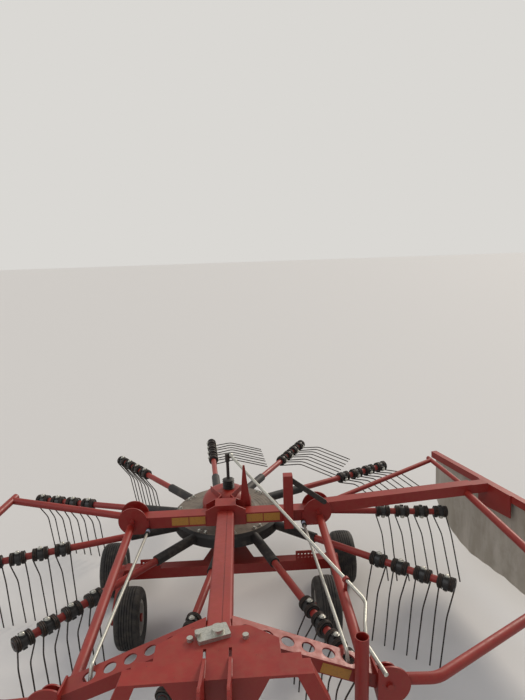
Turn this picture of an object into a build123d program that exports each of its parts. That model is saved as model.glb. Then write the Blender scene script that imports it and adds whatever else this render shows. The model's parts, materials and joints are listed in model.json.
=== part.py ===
from build123d import *
from math import cos, radians, sin
import os

os.makedirs("parts", exist_ok=True)

# A three-point mounted rotary rake with one rotor, standing on its four wheels and its stand.
# Millimetres. +Z is up, +Y points to the rear, away from the tractor, and +X is the side of
# the swath curtain. Every place below is given from the rotor's axis at the floor. At the end
# the finished pieces are moved so that the floor under the middle of the whole is the origin.

# Fits and clearances
running_fit = 0.08
sliding_gap = 0.4
soft_gap = 0.3
seat_gap = 0.3
hinge_gap = 6.0
pin_side_gap = 2.0

# Rotor
arm_count = 11
first_arm_azimuth = -69.2
rotor_radius = 1740.0
arm_offset = 60.0
arm_root_radius = 300.0
arm_root_height = 610.0
arm_end_height = 556.0
sleeve_outer = 70.0
sleeve_end_radius = 750.0
arm_tube_outer = 48.0
arm_socket = 40.0

# Tines, with how far the cam lifts each arm's, in degrees, from the first arm on
tine_lifts = (4, 8, 50, 80, 76, 73, 8, 5, 0, 0, 3)
tines_per_arm = 4
tine_pitch = 152.0
coil_spacing = 72.0
leg_spacing = 100.0
knee_spacing = 72.0
tip_spacing = 64.0
coil_outer = 92.0
coil_width = 36.0
clamp_outer = 62.0
tine_wire = 9.5
tine_upper = 200.0
tine_lower = 350.0
tine_bend = 25.0
coil_sides = 10
wire_sides = 6

# Hub of the rotor, around the centre column
hub_radius = 417.0
hub_top = 652.0
hub_depth = 92.0
hub_rim = 20.0
hub_crown_radius = 215.0
hub_crown = 12.0
hub_crown_foot = 251.0
column_outer = 110.0
column_flange_outer = 170.0
column_flange = 14.0

# Gearbox and height spindle
gearbox_radius = 190.0
gearbox_side = 60.0
gearbox_neck_radius = 78.0
gearbox_top = 830.0
gearbox_shoulder = (158.0, 792.0)
gusset_plate = 8.0
gusset_top = 862.0
gusset_low = 742.0
gusset_line = ((118.0, -22.0), (36.0, -178.0), (62.0, -240.0))
input_height = 710.0
input_housing_outer = 50.0
input_housing_reach = 372.0
pto_diameter = 34.9
pto_length = 96.0
pto_socket = 60.0
pto_neck = 30.0
spindle_x = 18.0
spindle_diameter = 24.0
spindle_top = 1070.0
bellows_radius = 46.0
bellows_neck = 30.0
bellows_fold = 16.0
bellows_folds = 5
joint_fork = 36.0
joint_height = 1097.0

# Cross beam, and the saddle that holds the main beam to it
cross_half = 586.0
cross_front = -402.0
cross_depth = 100.0
cross_height = 82.0
cross_top = 822.0
cross_wall = 6.0
saddle_half = 142.0
saddle_shoulder = 855.0
saddle_top_half = 74.0
saddle_top = 890.0
saddle_plate = 10.0

# Main beam
beam_width = 117.0
beam_height = 104.0
beam_wall = 6.0
beam_corner = 14.0
seam_place = 12.0
seam_width = 5.0
seam_depth = 3.0
beam_rear_top = 850.0
beam_front_y = -1960.0
beam_front_top = 1088.0

# Vertical swivel at the front of the main beam
swivel_y = -1990.0
swivel_boss_outer = 116.0
swivel_pin = 50.0
swivel_pin_overrun = 6.0
swivel_pin_recess = 1.0
swivel_boss_low = 900.0
swivel_boss_top = 1090.0

# Front wings, from the swivel down to the guard hinges
wing_inner = (58.5, -1893.0, 1076.0)
wing_outer = (668.0, -1962.0, 884.0)
wing_inner_width = 124.0
wing_outer_width = 98.0
wing_plate = 8.0
wing_flange = 66.0
wing_hole = 60.0
wing_hole_pitch = 93.0
wing_first_hole = 68.0
wing_holes = 6
wing_spare = 40.0
wing_lip = 16.0
wing_window = (30.0, 575.0)

# Struts from the rear brackets to the wings
strut_outer = 54.0
strut_wall = 5.0
strut_rear = (672.0, -402.0, 759.0)
strut_front = (640.0, -1960.0, 858.0)

# Guard hinges, each on one line from a rear to a front bracket
hinge_rear = (656.0, -352.0, 806.0)
hinge_front = (716.0, -2012.0, 858.0)
hinge_pin = 30.0
hinge_bush = 62.0
bracket_plate = 9.0
rear_disc_radius = 100.0
rear_disc_low = 706.0
rear_cheek_inner = 542.0
rear_cheek_outer = 686.0
front_disc_radius = 93.0
front_ear_radius = 52.0
front_bracket_gap = 64.0
front_bracket_low = 792.0
front_cap_low = 779.0
front_cap_top = 918.0
front_cap_rear = -1905.0
front_cap_rear_top = 888.0
pin_overhang = 12.0

# Lock rods of the guards
rod_diameter = 18.0
rod_rear = (549.0, -411.3, 736.0)
rod_crest = (557.0, -1922.0, 946.0)
rod_tip = (563.0, -1962.0, 866.0)
rod_bend = 18.0
collar_outer = 27.0
collar_length = 62.0
collar_cap_outer = 33.0
collar_cap = 14.0

# Post beside the right bracket, with its stay
post_x = 444.0
post_size = 65.0
post_corner = 6.0
post_low = 716.0
post_top = 1112.0
stay_width = 36.0
stay_plate = 10.0
stay_top = 1080.0
stay_end = (702.0, 884.0)

# Tapered upright beside the spindle
upright_left = 98.0
upright_right = 190.0
upright_tip = 140.0
upright_tip_width = 14.0
upright_low = 745.0
upright_top = 1135.0
upright_plate = 8.0

# Crank of the height spindle, held by an eye on the right strut
crank_rod = 20.0
crank_ball = 42.0
crank_start_reach = 8.0
crank_eye = (668.0, -1362.0, 902.0)
crank_overrun = 176.0
crank_elbow = (690.0, -1716.0, 905.0)
crank_knee = (648.0, -1930.0, 962.0)
crank_end = (686.0, -2108.0, 966.0)
crank_radius = 110.0
eye_outer = 38.0
eye_length = 18.0
eye_plate = 12.0

# Centre column, its foot and the axle
foot_plate = 14.0
foot_front_half = 190.0
foot_rear_half = 75.0
axle_half = 764.0
axle_front = -332.0
axle_size = 80.0
axle_low = 300.0
axle_wall = 6.0
adjuster_x = 570.0
adjuster_length = 142.0
adjuster_height = 76.0
adjuster_plate = 8.0
adjuster_hole = 13.0
adjuster_pitch = 25.0
adjuster_columns = 5
adjuster_rows = 2

# Wheels on tandem rockers
tyre_outer = 406.0
tyre_width = 172.0
tyre_bead = 208.0
tyre_bead_width = 120.0
tyre_crown = 6.0
tyre_shoulder = 26.0
tyre_bulge_radius = 161.5
rim_lip = 10.0
rim_well = 168.0
rim_disc = 10.0
rim_hub_outer = 72.0
rim_hub_length = 128.0
stub_diameter = 36.0
stub_cap = 54.0
stub_cap_length = 12.0
rocker_x = 789.0
rocker_plate = 34.0
rocker_depth = 72.0
rocker_eye = 84.0
rocker_pivot_outer = 104.0
front_wheel_y = -625.0
rear_wheel_y = -35.0
wheel_gap = 9.0

# Stand
stand_x = 600.0
stand_gap = 0.3
stand_standoff = 6.0
stand_lug_drop = 42.0
stand_lug_width = 36.0
stand_lug_height = 56.0
sleeve_pipe = 60.0
sleeve_pipe_wall = 4.0
stand_sleeve_top = 1098.0
stand_sleeve_low = 640.0
leg_wall = 4.0
leg_top = 980.0
foot_diameter = 150.0
foot_thickness = 10.0

# Guards
guard_tube = 50.0
guard_wall = 4.0
guard_bend = 130.0
bush_gap = 4.0
left_corner = (-1560.0, -190.0, 908.0)
left_loop_rear = (-1552.0, -136.0, 910.0)
left_loop_outer = (-1745.0, -1500.0, 890.0)
left_loop_inner = (-935.0, -2022.0, 858.0)
right_beam_depth = 82.0
right_beam_height = 78.0
right_beam_wall = 5.0
right_beam_start = (672.0, -352.0, 821.0)
right_beam_end = (1786.0, -352.0, 903.0)
right_loop_rear = (1748.0, -352.0, 872.0)
right_loop_outer = (1852.0, -1490.0, 846.0)
right_loop_inner = (935.0, -2022.0, 856.0)
bow_tube = 34.0
bow_wall = 3.5
bow_start = (728.0, -345.0, 838.0)
bow_corner = (1668.0, 140.0, 916.0)
bow_end = (1742.0, -352.0, 912.0)
bow_overrun = 45.0

# Swath curtain, its rail and the arm that slides in the right beam
arm_inside = 640.0
arm_wall = 4.0
rail_rear = (1776.0, 372.0, 896.0)
rail_front = (2112.0, -1250.0, 992.0)
rail_top_width = 46.0
rail_side_height = 52.0
rail_plate = 5.0
hanger_start = 657.0
hanger_length = 350.0
hanger_depth = 186.0
hanger_rise = 24.0
hanger_plate = 8.0
curtain_thickness = 8.0
curtain_margin = 14.0
curtain_drop = 672.0
curtain_rear_edge = (62.0, 390.0)
curtain_rear_bulge = (190.0, 590.0)
curtain_rear_run = 480.0
curtain_corner = 130.0

# Headstock
head_plate = 12.0
head_gap = 6.0
head_rear_half = 132.0
head_rear_y = -1938.0
head_step_half = 255.0
head_shoulder_y = -2028.0
head_step_y = -2116.0
head_half = 336.0
head_nose_half = 208.0
head_front_y = -2232.0
head_low_half = 92.0
leg_depth = 80.0
leg_width = 62.0
leg_thickness = 6.0
leg_top_x = 296.0
leg_top_y = -2176.0
leg_shoulder = (412.5, -2222.0, 950.0)
leg_bend = 50.0
leg_end_rear = 20.0
leg_end_rise = 62.0
lower_pin_x = 412.5
lower_pin_y = -2352.0
lower_pin_z = 552.0
lower_bore = 28.7
cheek_radius = 52.0
cheek_plate = 12.0
cheek_top = 800.0
cheek_flat_top = 816.0
tie_outer = 60.0
tie_wall = 5.0
tie_height = 636.0
mast_half_gap = 46.0
mast_plate = 12.0
mast_slot_gap = 0.5
link_bore = 25.7
link_y = -2400.0
link_z = 1178.0
link_eye = 44.0
mast_root_y = -2122.0
mast_slot_rear = -2066.0
mast_root_top = 1112.0
mast_low = 920.0
mast_front_low = 950.0
mast_nose = 10.0
catch_length = 140.0
catch_width = 78.0
catch_height = 18.0
catch_corner = 8.0
catch_turn = 17.0
catch_x = -22.0
catch_bolt = 54.0
catch_bolt_height = 20.0
catch_knob = 26.0
catch_knob_height = 16.0
catch_knob_reach = 62.0
stop_knob = 26.0
stop_knob_height = 16.0
stop_knob_x = 116.0
stop_knob_y = -2014.0

pieces = {}
sides = (("left", -1), ("right", 1))
mid_plane = Plane.YZ


def finish(piece, name):
    """Label a finished piece and keep it for the export at the end."""
    piece.part.label = name
    pieces[name] = piece


def bar(start, end, outer, wall=0.0):
    """A straight round bar, or a tube with a wall, added to the part being built."""
    axis = Vector(end) - Vector(start)
    with BuildSketch(Plane(origin=start, z_dir=axis)) as section:
        Circle(outer / 2)
        if wall:
            Circle(outer / 2 - wall, mode=Mode.SUBTRACT)
    extrude(section.sketch, amount=axis.length)


def bent_bar(places, outer, radius, wall=0.0):
    """A round bar or tube with a bend at each place between its ends."""
    with BuildLine() as route:
        FilletPolyline(*places, radius=radius)
    path = route.wires()[0]
    with BuildSketch(Plane(origin=path @ 0, z_dir=path % 0)) as section:
        Circle(outer / 2)
        if wall:
            Circle(outer / 2 - wall, mode=Mode.SUBTRACT)
    sweep(section.sketch, path=path)


def box_plane(start, end):
    """The plane of a box section that runs from start to end with its sides upright."""
    axis = Vector(end) - Vector(start)
    return Plane(origin=start, x_dir=axis.cross(Vector(0, 0, 1)), z_dir=axis)


def box_bar(start, end, width, height, wall=0.0):
    """A straight box section with upright sides, added to the part being built."""
    with BuildSketch(box_plane(start, end)) as section:
        Rectangle(width, height)
        if wall:
            Rectangle(width - 2 * wall, height - 2 * wall, mode=Mode.SUBTRACT)
    extrude(section.sketch, amount=(Vector(end) - Vector(start)).length)


def slab(plane, points, thickness, both=False):
    """A flat plate with a straight-sided outline, on or centred on its plane."""
    with BuildSketch(plane) as section:
        with BuildLine():
            Polyline(*points, close=True)
        make_face()
    extrude(section.sketch, amount=thickness / 2 if both else thickness, both=both)


def drill(start, end, diameter):
    """A round hole along a line, cut from the part being built."""
    axis = Vector(end) - Vector(start)
    with BuildSketch(Plane(origin=start, z_dir=axis)) as section:
        Circle(diameter / 2)
    extrude(section.sketch, amount=axis.length, mode=Mode.SUBTRACT)


def along(start, end, distance):
    """The place at a distance from start on the line to end."""
    return Vector(start) + (Vector(end) - Vector(start)).normalized() * distance


def upright_plane(y):
    """A plane across the machine, seen from the front, with x across and y upwards."""
    return Plane(origin=(0, y, 0), x_dir=(1, 0, 0), z_dir=(0, -1, 0))


def cut_in_front(y):
    """Cut away what lies in front of a plane across the machine."""
    split(bisect_by=Plane(origin=(0, y, 0), z_dir=(0, 1, 0)), keep=Keep.TOP)


def cut_behind(y):
    """Cut away what lies behind a plane across the machine."""
    split(bisect_by=Plane(origin=(0, y, 0), z_dir=(0, 1, 0)), keep=Keep.BOTTOM)


# Cross beam with its saddle plates in front and behind
cross_middle_y = cross_front + cross_depth / 2
cross_rear = cross_front + cross_depth
cross_low = cross_top - cross_height
saddle_front = cross_front - saddle_plate
saddle_outline = [
    (-saddle_half, cross_low), (-saddle_half, saddle_shoulder), (-saddle_top_half, saddle_top),
    (saddle_top_half, saddle_top), (saddle_half, saddle_shoulder), (saddle_half, cross_low)]
with BuildPart() as cross_beam:
    box_bar((-cross_half, cross_middle_y, cross_top - cross_height / 2),
            (cross_half, cross_middle_y, cross_top - cross_height / 2),
            cross_depth, cross_height, cross_wall)
    slab(upright_plane(cross_front), saddle_outline, saddle_plate)
    slab(upright_plane(cross_rear + saddle_plate), saddle_outline, saddle_plate)
    with BuildSketch(Plane.XY.offset(saddle_top - saddle_plate)) as saddle_cap:
        with Locations((0, cross_middle_y)):
            Rectangle(2 * saddle_top_half, cross_depth)
    extrude(saddle_cap.sketch, amount=saddle_plate)
finish(cross_beam, "cross_beam")


# Main beam: a folded box, the seam of its two halves on top, and the swivel at its front
beam_rear_y = saddle_front
beam_run = Vector(0, beam_rear_y - beam_front_y, beam_rear_top - beam_front_top)
beam_plane = Plane(origin=(0, beam_front_y, beam_front_top), x_dir=(-1, 0, 0), z_dir=beam_run)
with BuildPart() as main_beam:
    with BuildSketch(beam_plane) as beam_section:
        with Locations((0, -beam_height / 2)):
            RectangleRounded(beam_width, beam_height, beam_corner)
            RectangleRounded(beam_width - 2 * beam_wall, beam_height - 2 * beam_wall,
                             beam_corner - beam_wall, mode=Mode.SUBTRACT)
        with Locations((-seam_place, 0)):
            Rectangle(seam_width, 2 * seam_depth, mode=Mode.SUBTRACT)
    extrude(beam_section.sketch, amount=beam_run.length + beam_height)
    cut_behind(beam_rear_y)
    bar((0, swivel_y, swivel_boss_low), (0, swivel_y, swivel_boss_top), swivel_boss_outer)
    bar((0, swivel_y, swivel_boss_low - head_gap - head_plate - swivel_pin_overrun),
        (0, swivel_y, swivel_boss_low), swivel_pin)
    bar((0, swivel_y, swivel_boss_top),
        (0, swivel_y, swivel_boss_top + head_gap + head_plate - swivel_pin_recess), swivel_pin)
finish(main_beam, "main_beam")


# Front wings: folded channels with a row of large holes in the web
wing_run = Vector(wing_outer) - Vector(wing_inner)
wing_across = wing_run.cross(Vector(0, 0, 1)).normalized()
wing_plane = Plane(origin=wing_inner, x_dir=wing_run, z_dir=wing_across.cross(wing_run))
wing_length = wing_run.length
wing_taper = (wing_outer_width - wing_inner_width) / 2 / wing_length
with BuildPart() as wing_right:
    inner_half = wing_inner_width / 2 - wing_taper * wing_spare
    outer_half = wing_outer_width / 2 + wing_taper * wing_spare
    outline = [(-wing_spare, -inner_half), (wing_length + wing_spare, -outer_half),
               (wing_length + wing_spare, outer_half), (-wing_spare, inner_half)]
    hollow = [(-wing_spare, wing_plate - inner_half), (wing_length + wing_spare, wing_plate - outer_half),
              (wing_length + wing_spare, outer_half - wing_plate), (-wing_spare, inner_half - wing_plate)]
    slab(wing_plane, outline, -wing_flange)
    with BuildSketch(wing_plane.offset(-wing_plate)) as wing_hollow:
        with BuildLine():
            Polyline(*hollow, close=True)
        make_face()
    extrude(wing_hollow.sketch, amount=-wing_flange, mode=Mode.SUBTRACT)
    split(bisect_by=Plane(origin=wing_inner, z_dir=(1, 0, 0)), keep=Keep.TOP)
    split(bisect_by=Plane(origin=wing_outer, z_dir=(1, 0, 0)), keep=Keep.BOTTOM)
    with BuildSketch(wing_plane) as wing_row:
        with Locations(*[(wing_first_hole + wing_hole_pitch * number, 0) for number in range(wing_holes)]):
            Circle(wing_hole / 2)
    extrude(wing_row.sketch, amount=-2 * wing_plate, mode=Mode.SUBTRACT)
    with BuildSketch(wing_plane.offset(-wing_lip)) as wing_rear_window:
        with BuildLine():
            Polyline((wing_window[0], 0), (wing_window[1], 0), (wing_window[1], wing_inner_width),
                     (wing_window[0], wing_inner_width), close=True)
        make_face()
    extrude(wing_rear_window.sketch, amount=-wing_flange, mode=Mode.SUBTRACT)
    cut_behind(wing_inner[1] + wing_inner_width)
finish(wing_right, "wing_right")

with BuildPart() as wing_left:
    mirror(wing_right.part, about=mid_plane)
finish(wing_left, "wing_left")


# Rear brackets: two discs in line with the cross beam's faces, closed by a plate at its end
rear_pin_axis = (Vector(hinge_front) - Vector(hinge_rear)).normalized()
rear_pin_half = cross_depth / 2 + bracket_plate + pin_overhang
front_pin_half = front_bracket_gap / 2 + bracket_plate + pin_overhang
with BuildPart() as rear_brackets:
    for face_y in (cross_front, cross_rear + bracket_plate):
        with BuildSketch(upright_plane(face_y)) as disc:
            with Locations((hinge_rear[0], hinge_rear[2])):
                Circle(rear_disc_radius)
            with Locations(((rear_cheek_inner + rear_cheek_outer) / 2, (hinge_rear[2] + rear_disc_low) / 2)):
                Rectangle(rear_cheek_outer - rear_cheek_inner, hinge_rear[2] - rear_disc_low)
        extrude(disc.sketch, amount=bracket_plate)
    with BuildSketch(Plane(origin=(cross_half, cross_middle_y, 0), z_dir=(1, 0, 0), x_dir=(0, 1, 0))) as cap:
        with Locations((0, (cross_top + rear_disc_low) / 2)):
            Rectangle(cross_depth, cross_top - rear_disc_low)
    extrude(cap.sketch, amount=bracket_plate)
    bar(Vector(hinge_rear) - rear_pin_axis * rear_pin_half,
        Vector(hinge_rear) + rear_pin_axis * rear_pin_half, hinge_pin)
    mirror(about=mid_plane)
finish(rear_brackets, "rear_brackets")


# Front brackets: a half disc in front and a smaller ear behind, on the ends of the wings
front_bracket_front = hinge_front[1] - front_bracket_gap / 2 - bracket_plate
front_bracket_rear = hinge_front[1] + front_bracket_gap / 2 + bracket_plate
with BuildPart() as front_brackets:
    for face_y, ear_radius in ((front_bracket_front + bracket_plate, front_disc_radius),
                               (front_bracket_rear, front_ear_radius)):
        with BuildSketch(upright_plane(face_y)) as disc:
            with Locations((hinge_front[0], hinge_front[2])):
                Circle(ear_radius)
            with Locations((wing_outer[0] - front_disc_radius / 2, hinge_front[2])):
                Rectangle(front_disc_radius, 3 * front_disc_radius, mode=Mode.SUBTRACT)
        extrude(disc.sketch, amount=bracket_plate)
    slab(Plane(origin=(wing_outer[0], 0, 0), x_dir=(0, 1, 0), z_dir=(1, 0, 0)),
         [(front_bracket_front, front_cap_low), (front_bracket_front, front_cap_top),
          (front_cap_rear, front_cap_rear_top), (front_cap_rear, front_bracket_low)], bracket_plate)
    bar(Vector(hinge_front) - rear_pin_axis * front_pin_half,
        Vector(hinge_front) + rear_pin_axis * front_pin_half, hinge_pin)
    mirror(about=mid_plane)
finish(front_brackets, "front_brackets")


# Struts between the brackets and the wings, cut to lie against both
bracket_front = cross_front - bracket_plate
wing_rear_inner = wing_plane.from_local_coords(Vector(0, wing_inner_width / 2, 0))
wing_rear_outer = wing_plane.from_local_coords(Vector(wing_length, wing_outer_width / 2, 0))
wing_front_inner = wing_plane.from_local_coords(Vector(0, -wing_inner_width / 2, 0))
wing_front_outer = wing_plane.from_local_coords(Vector(wing_length, -wing_outer_width / 2, 0))
wing_rear_face = Plane(origin=wing_rear_inner, x_dir=wing_rear_outer - wing_rear_inner,
                       z_dir=wing_plane.z_dir.cross(wing_rear_outer - wing_rear_inner))
with BuildPart() as struts:
    bar(strut_rear, strut_front, strut_outer, strut_wall)
    cut_behind(bracket_front)
    split(bisect_by=wing_rear_face, keep=Keep.TOP)
    mirror(about=mid_plane)
finish(struts, "struts")


# Gearbox: a cast dome with two ribs that run to the saddle, and the housing of the input shaft
gearbox_low = hub_top + hub_crown + hinge_gap
with BuildPart() as gearbox:
    with BuildSketch(Plane.XZ) as gearbox_section:
        with BuildLine():
            Polyline((0, gearbox_top), (0, gearbox_low), (gearbox_radius, gearbox_low),
                     (gearbox_radius, gearbox_low + gearbox_side))
            ThreePointArc((gearbox_radius, gearbox_low + gearbox_side),
                          gearbox_shoulder, (gearbox_neck_radius, gearbox_top))
            Line((gearbox_neck_radius, gearbox_top), (0, gearbox_top))
        make_face()
    revolve(gearbox_section.sketch, axis=Axis.Z)
    with BuildSketch(Plane.XY.offset(gusset_low)) as gussets:
        for side in (-1, 1):
            with BuildLine():
                Polyline(*[(side * place[0], place[1]) for place in gusset_line],
                         (side * saddle_top_half, cross_rear + saddle_plate))
            trace(line_width=gusset_plate)
    extrude(gussets.sketch, amount=gusset_top - gusset_low)
    cut_in_front(cross_rear + saddle_plate)
    bar((0, 0, input_height), (0, -input_housing_reach, input_height), input_housing_outer)
    drill((0, pto_socket - input_housing_reach, input_height), (0, -input_housing_reach, input_height),
          pto_neck + 2 * running_fit)
finish(gearbox, "gearbox")


# Height spindle in its bellows, with the joint that the crank turns
with BuildPart() as height_spindle:
    bar((spindle_x, 0, gearbox_top), (spindle_x, 0, spindle_top), spindle_diameter)
    with BuildSketch(Plane.XZ) as bellows_section:
        with BuildLine():
            Polyline((spindle_x, gearbox_top),
                     *[(spindle_x + (bellows_radius if edge % 2 else bellows_neck),
                        gearbox_top + edge * bellows_fold / 2) for edge in range(2 * bellows_folds + 1)],
                     (spindle_x, gearbox_top + bellows_folds * bellows_fold), close=True)
        make_face()
    revolve(bellows_section.sketch, axis=Axis((spindle_x, 0, 0), (0, 0, 1)))
    bar((spindle_x, 0, spindle_top - joint_fork / 2), (spindle_x, 0, joint_height + joint_fork / 2),
        joint_fork)
finish(height_spindle, "height_spindle")


# Height crank: a long rod from the spindle's joint through an eye on the right strut, then bent
crank_start = (spindle_x + joint_fork / 2 + crank_start_reach, 0, joint_height)
crank_bend = along(crank_start, crank_eye, (Vector(crank_eye) - Vector(crank_start)).length + crank_overrun)
with BuildPart() as height_crank:
    bent_bar([crank_start, crank_bend, crank_elbow, crank_knee, crank_end], crank_rod, crank_radius)
    with Locations(crank_start):
        Sphere(crank_ball / 2)
    fork_side = spindle_x + joint_fork / 2 + seat_gap
    split(bisect_by=Plane(origin=(fork_side, 0, 0), z_dir=(1, 0, 0)), keep=Keep.TOP)
finish(height_crank, "height_crank")

strut_here = along(strut_rear, strut_front, -crank_eye[1] + strut_rear[1])
eye_run = (Vector(crank_eye) - Vector(crank_start)).normalized()
with BuildPart() as crank_eye_plate:
    bar(Vector(crank_eye) - eye_run * eye_length / 2, Vector(crank_eye) + eye_run * eye_length / 2, eye_outer)
    slab(upright_plane(crank_eye[1] + eye_length / 2),
         [(crank_eye[0] - eye_plate, strut_here.Z), (crank_eye[0] + eye_plate / 2, strut_here.Z),
          (crank_eye[0] + eye_plate / 2, crank_eye[2]), (crank_eye[0] - eye_plate / 2, crank_eye[2])],
         eye_length)
    drill(Vector(crank_eye) - eye_run * eye_length, Vector(crank_eye) + eye_run * eye_length,
          crank_rod + 2 * seat_gap)
    drill(strut_rear, strut_front, strut_outer + 2 * seat_gap)
finish(crank_eye_plate, "crank_eye")


# Lock rods from the rear brackets over the wings' rear edges and down through their outer holes
with BuildPart() as lock_rods:
    rod_start = along(rod_rear, rod_crest, -collar_length / 2)
    bent_bar([rod_start, rod_crest, rod_tip], rod_diameter, rod_bend)
    bar(rod_start, along(rod_rear, rod_crest, collar_length), collar_outer)
    bar(along(rod_rear, rod_crest, collar_length), along(rod_rear, rod_crest, collar_length + collar_cap),
        collar_cap_outer)
    cut_behind(bracket_front)
    mirror(about=mid_plane)
finish(lock_rods, "lock_rods")


# Post on the front of the cross beam, and the flat stay from its top to the right bracket
with BuildPart() as fold_post:
    with BuildSketch(Plane.XY.offset(post_low)) as post_section:
        with Locations((post_x, cross_front - post_size / 2)):
            RectangleRounded(post_size, post_size, post_corner)
    extrude(post_section.sketch, amount=post_top - post_low)
finish(fold_post, "fold_post")

with BuildPart() as post_stay:
    stay_line = Vector(stay_end[0], stay_end[1]) - Vector(post_x, stay_top)
    with BuildSketch(upright_plane(bracket_front - seat_gap)) as stay:
        with Locations((post_x, stay_top)):
            Circle(stay_width / 2)
        with Locations(stay_end):
            Circle(stay_width / 2)
        with Locations(Pos((post_x + stay_end[0]) / 2, (stay_top + stay_end[1]) / 2)
                       * Rot(0, 0, Vector(1, 0, 0).get_signed_angle(stay_line, Vector(0, 0, 1)))):
            Rectangle(stay_line.length, stay_width)
    extrude(stay.sketch, amount=stay_plate)
    post_side = post_x + post_size / 2 + seat_gap
    split(bisect_by=Plane(origin=(post_side, 0, 0), z_dir=(1, 0, 0)), keep=Keep.TOP)
finish(post_stay, "post_stay")


# Tapered upright behind the saddle
with BuildPart() as cable_upright:
    slab(upright_plane(cross_rear + saddle_plate + upright_plate),
         [(upright_left, upright_low), (upright_right, upright_low),
          (upright_tip + upright_tip_width / 2, upright_top),
          (upright_tip - upright_tip_width / 2, upright_top)], upright_plate)
finish(cable_upright, "cable_upright")


# Centre column through the hub, on a foot that runs forward to the axle
hub_low = hub_top - hub_depth
axle_top = axle_low + axle_size
axle_rear = axle_front + axle_size
axle_y = axle_front + axle_size / 2
axle_z = axle_low + axle_size / 2
foot_outline = [(-foot_front_half, axle_rear), (foot_front_half, axle_rear),
                (foot_rear_half, foot_rear_half), (-foot_rear_half, foot_rear_half)]
with BuildPart() as centre_column:
    bar((0, 0, axle_low + foot_plate), (0, 0, gearbox_low), column_outer)
    bar((0, 0, hub_low - hinge_gap - column_flange), (0, 0, hub_low - hinge_gap), column_flange_outer)
    with BuildSketch(Plane.XY.offset(axle_low)) as foot:
        with BuildLine():
            Polyline(*foot_outline, close=True)
        make_face()
    extrude(foot.sketch, amount=axle_size)
    with BuildSketch(Plane.XY.offset(axle_low + foot_plate)) as foot_hollow:
        offset(foot.sketch, amount=-foot_plate, kind=Kind.INTERSECTION, mode=Mode.ADD)
        Circle(column_outer / 2, mode=Mode.SUBTRACT)
    extrude(foot_hollow.sketch, amount=axle_size - 2 * foot_plate, mode=Mode.SUBTRACT)
finish(centre_column, "centre_column")


# Axle with the perforated adjusting plates near its ends
with BuildPart() as axle_beam:
    box_bar((-axle_half, axle_y, axle_z), (axle_half, axle_y, axle_z), axle_size, axle_size, axle_wall)
    for side in (-1, 1):
        with BuildSketch(upright_plane(axle_front + adjuster_plate)) as adjuster:
            with Locations((side * adjuster_x, axle_top + adjuster_height / 2)):
                Rectangle(adjuster_length, adjuster_height)
                with GridLocations(adjuster_pitch, adjuster_pitch, adjuster_columns, adjuster_rows):
                    Circle(adjuster_hole / 2, mode=Mode.SUBTRACT)
        extrude(adjuster.sketch, amount=adjuster_plate)
finish(axle_beam, "axle_beam")


# Tandem rockers, each with a stub inwards in front and a stub outwards behind
wheel_z = tyre_outer / 2
wheel_offset = rocker_plate / 2 + wheel_gap + tyre_width / 2
wheel_spots = {"front": (front_wheel_y, -1), "rear": (rear_wheel_y, 1)}
hub_start = wheel_offset - rim_hub_length / 2
hub_end = wheel_offset + rim_hub_length / 2
with BuildPart() as rockers:
    bar((axle_half, axle_y, axle_z), (rocker_x + rocker_plate / 2 + stub_cap_length, axle_y, axle_z),
        rocker_pivot_outer)
    for wheel_y, way in wheel_spots.values():
        box_bar((rocker_x, axle_y, axle_z), (rocker_x, wheel_y, wheel_z), rocker_plate, rocker_depth)
        bar((rocker_x - rocker_plate / 2, wheel_y, wheel_z), (rocker_x + rocker_plate / 2, wheel_y, wheel_z),
            rocker_eye)
        shoulder_x = rocker_x + way * (hub_start - pin_side_gap)
        cap_x = rocker_x + way * (hub_end + pin_side_gap)
        bar((rocker_x, wheel_y, wheel_z), (shoulder_x, wheel_y, wheel_z), stub_cap)
        bar((rocker_x, wheel_y, wheel_z), (cap_x, wheel_y, wheel_z), stub_diameter)
        bar((cap_x, wheel_y, wheel_z), (cap_x + way * stub_cap_length, wheel_y, wheel_z), stub_cap)
    mirror(about=mid_plane)
finish(rockers, "rockers")


# Wheels: a tyre and a rim for each stub
tyre_radius = tyre_outer / 2
bead_radius = tyre_bead / 2
tyre_half = tyre_width / 2
bead_half = tyre_bead_width / 2
bead_width_half = bead_half - seat_gap
tread_half = tyre_half - tyre_shoulder
wall_foot = bead_radius + rim_lip + pin_side_gap
with BuildPart() as tyre_form:
    with BuildSketch(Plane.XY) as tyre_section:
        with BuildLine():
            Polyline((-bead_width_half, wall_foot), (-bead_width_half, bead_radius),
                     (bead_width_half, bead_radius), (bead_width_half, wall_foot))
            ThreePointArc((bead_width_half, wall_foot), (tyre_half, tyre_bulge_radius),
                          (tread_half, tyre_radius - tyre_crown))
            ThreePointArc((tread_half, tyre_radius - tyre_crown), (0, tyre_radius),
                          (-tread_half, tyre_radius - tyre_crown))
            ThreePointArc((-tread_half, tyre_radius - tyre_crown), (-tyre_half, tyre_bulge_radius),
                          (-bead_width_half, wall_foot))
        make_face()
    revolve(tyre_section.sketch, axis=Axis.X)
bore_radius = stub_diameter / 2 + running_fit
rim_boss_radius = rim_hub_outer / 2
well_radius = rim_well / 2
lip_half = bead_half + rim_lip
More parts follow.
